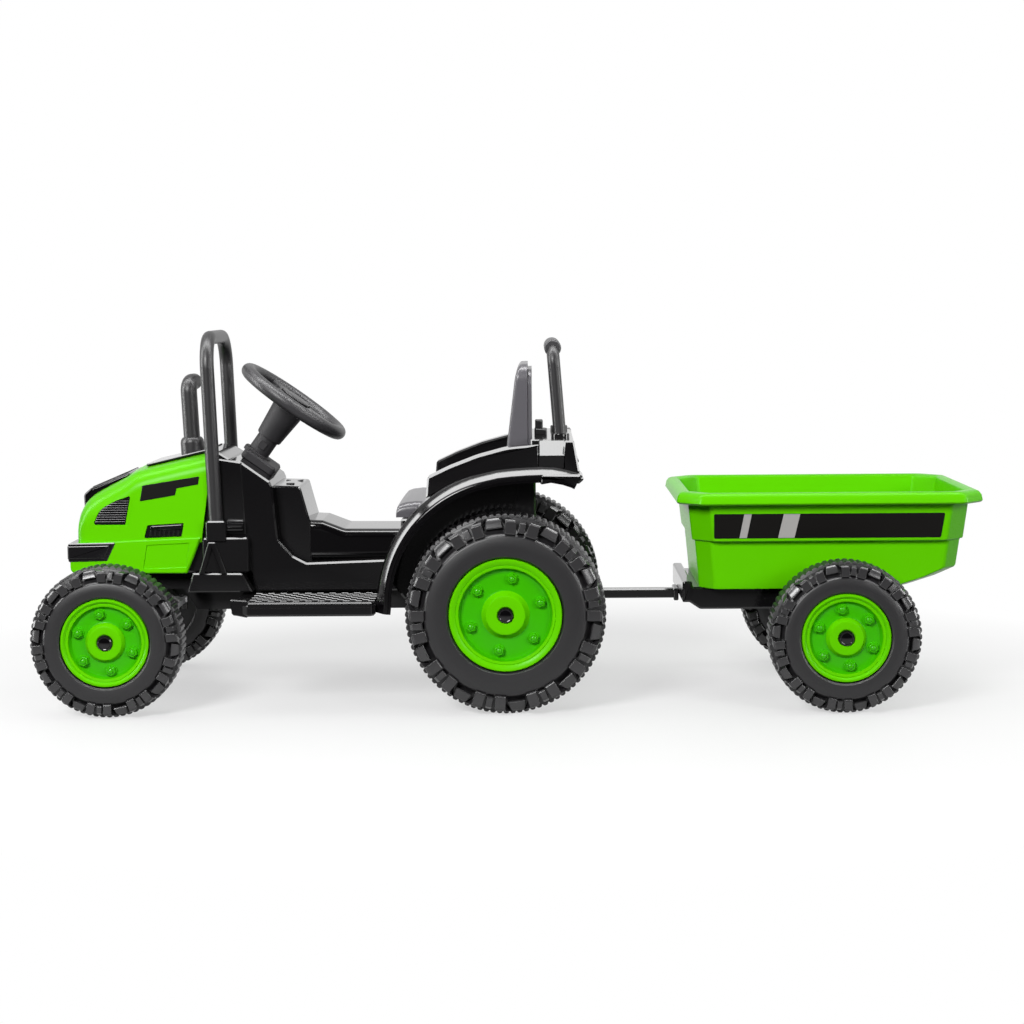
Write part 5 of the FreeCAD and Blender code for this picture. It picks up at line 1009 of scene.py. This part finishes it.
# %% Camera
YAW, PITCH, ROLL = -0.0110938, 0.097749, -0.0078888
IMAGE_PIXELS, FOCAL_PIXELS, SENSOR = 1024, 2175.84, 36
scene = bpy.context.scene
forward = Vector((math.sin(YAW) * math.cos(PITCH), math.cos(YAW) * math.cos(PITCH), -math.sin(PITCH)))
level = Vector((math.cos(YAW), -math.sin(YAW), 0))
upright = level.cross(forward)
right = level * math.cos(ROLL) + upright * math.sin(ROLL)
above = upright * math.cos(ROLL) - level * math.sin(ROLL)
lens_data = bpy.data.cameras.new("camera")
lens_data.sensor_width = SENSOR
lens_data.lens = FOCAL_PIXELS * SENSOR / IMAGE_PIXELS
camera = bpy.data.objects.new("camera", lens_data)
camera.matrix_world = Matrix((right, above, -forward)).transposed().to_4x4()
camera.location = (0.0361, -3.2, 0.5755)
scene.collection.objects.link(camera)
scene.camera = camera
scene.view_settings.view_transform = "Standard"
print(f"lens {lens_data.lens:.1f} mm")

# %% World
WHITE, BLACK = (1, 1, 1, 1), (0, 0, 0, 1)


def mirrored(start):
    """One for rays that a surface mirrors or lets through."""
    return (start.node("LightPath", output="Is Glossy Ray")
            + start.node("LightPath", output="Is Transmission Ray"))


world = bpy.data.worlds.new("studio")
scene.world = world
world.use_nodes = True
world.node_tree.nodes.clear()
start = Socket(world.node_tree)
toward = start.node("TexCoord", output="Generated")
depth = start.node("SeparateXYZ", sockets={0: toward}, output="Y")
room = start.node("ValToRGB", {"stops": [
    (0.0, (0.03, 0.03, 0.03, 1)), (0.38, (0.06, 0.06, 0.06, 1)), (0.62, WHITE)]}, {0: depth * 0.5 + 0.5})
around = between(start, mirrored(start), between(start, 0.3, room, BLACK), room)
seen = start.node("LightPath", output="Is Camera Ray")
backdrop = between(start, seen, around, WHITE)
shown = start.node("Background", sockets={"Color": backdrop, "Strength": 1.0})
start.node("OutputWorld", sockets={"Surface": shown})
print("white to the camera, a half dark room in reflections")

# %% Floor
REACH = 20
ground = finish("pale_floor", (0.8, 0.8, 0.8), 0.6, grain=60, relief=0.01, mottle=0.01)
start = Socket(ground.node_tree)
output = next(node for node in ground.node_tree.nodes if node.type == "OUTPUT_MATERIAL")
matt = Socket(ground.node_tree, output.inputs["Surface"].links[0].from_socket)
place = start.node("TexCoord", output="Object")
spread = start.node("VectorMath", {"operation": "LENGTH"}, {0: place}, output="Value")
behind = start.node("SeparateXYZ", sockets={0: place}, output="Y")


def rising(value, low, high, foot=0.0):
    """A value that rises to one between two places."""
    return start.node("MapRange", sockets={
        "Value": value, "From Min": low, "From Max": high, "To Min": foot})


def shared(factor, first, second):
    """A surface mixed from two others."""
    return start.node("MixShader", sockets={0: factor, 1: first, 2: second})


paper = start.node("Emission", sockets={"Color": WHITE, "Strength": 1.0})
dim = start.node("BsdfDiffuse", sockets={"Color": (0.05, 0.05, 0.05, 1)})
lit = shared(rising(spread, 0.55, 1.1, foot=0.55), matt, paper)
cloth = shared(rising(behind, 0.15, 0.5), dim, paper)
mirror_floor = shared(rising(behind, -1.3, -0.5), dim, lit)
seen = start.node("LightPath", output="Is Camera Ray")
ground_look = shared(seen, shared(mirrored(start), cloth, mirror_floor), lit)
ground.node_tree.links.new(ground_look.output, output.inputs["Surface"])
floor_mesh = bpy.data.meshes.new("studio_floor")
corners = [(-REACH, -REACH, 0), (REACH, -REACH, 0), (REACH, REACH, 0), (-REACH, REACH, 0)]
floor_mesh.from_pydata(corners, [], [(0, 1, 2, 3)])
floor_mesh.materials.append(ground)
studio_floor = bpy.data.objects.new("studio_floor", floor_mesh)
scene.collection.objects.link(studio_floor)
print("pale floor")

# %% Lights
def softbox(name, place, target, width, height, power, sheen=False):
    """A soft light that faces a point; a sheen light only draws highlights on glossy forms."""
    data = bpy.data.lights.new(name, "AREA")
    data.shape = "RECTANGLE"
    data.size, data.size_y, data.energy = width, height, power
    light = bpy.data.objects.new(name, data)
    light.location = place
    light.rotation_euler = (Vector(target) - Vector(place)).to_track_quat("-Z", "Y").to_euler()
    light.visible_diffuse = not sheen
    scene.collection.objects.link(light)


softbox("top", (0, -0.4, 2.4), (0, 0, 0.2), 3.0, 1.4, 13)
softbox("front_left", (-1.3, -2.7, 1.8), (0, 0, 0.3), 1.0, 1.0, 106)
softbox("front_right", (2.2, -2.4, 1.2), (0.2, 0, 0.25), 1.0, 1.2, 40)
softbox("sheen_above", (0, -0.25, 1.9), (0, -0.2, 0.2), 3.4, 0.4, 72, sheen=True)
softbox("sheen_left", (-2.3, -0.25, 0.95), (0, -0.2, 0.3), 0.5, 1.9, 52, sheen=True)
softbox("sheen_right", (2.3, -0.25, 0.95), (0, -0.2, 0.3), 0.4, 1.9, 40, sheen=True)
print("three softboxes and three sheen lights")
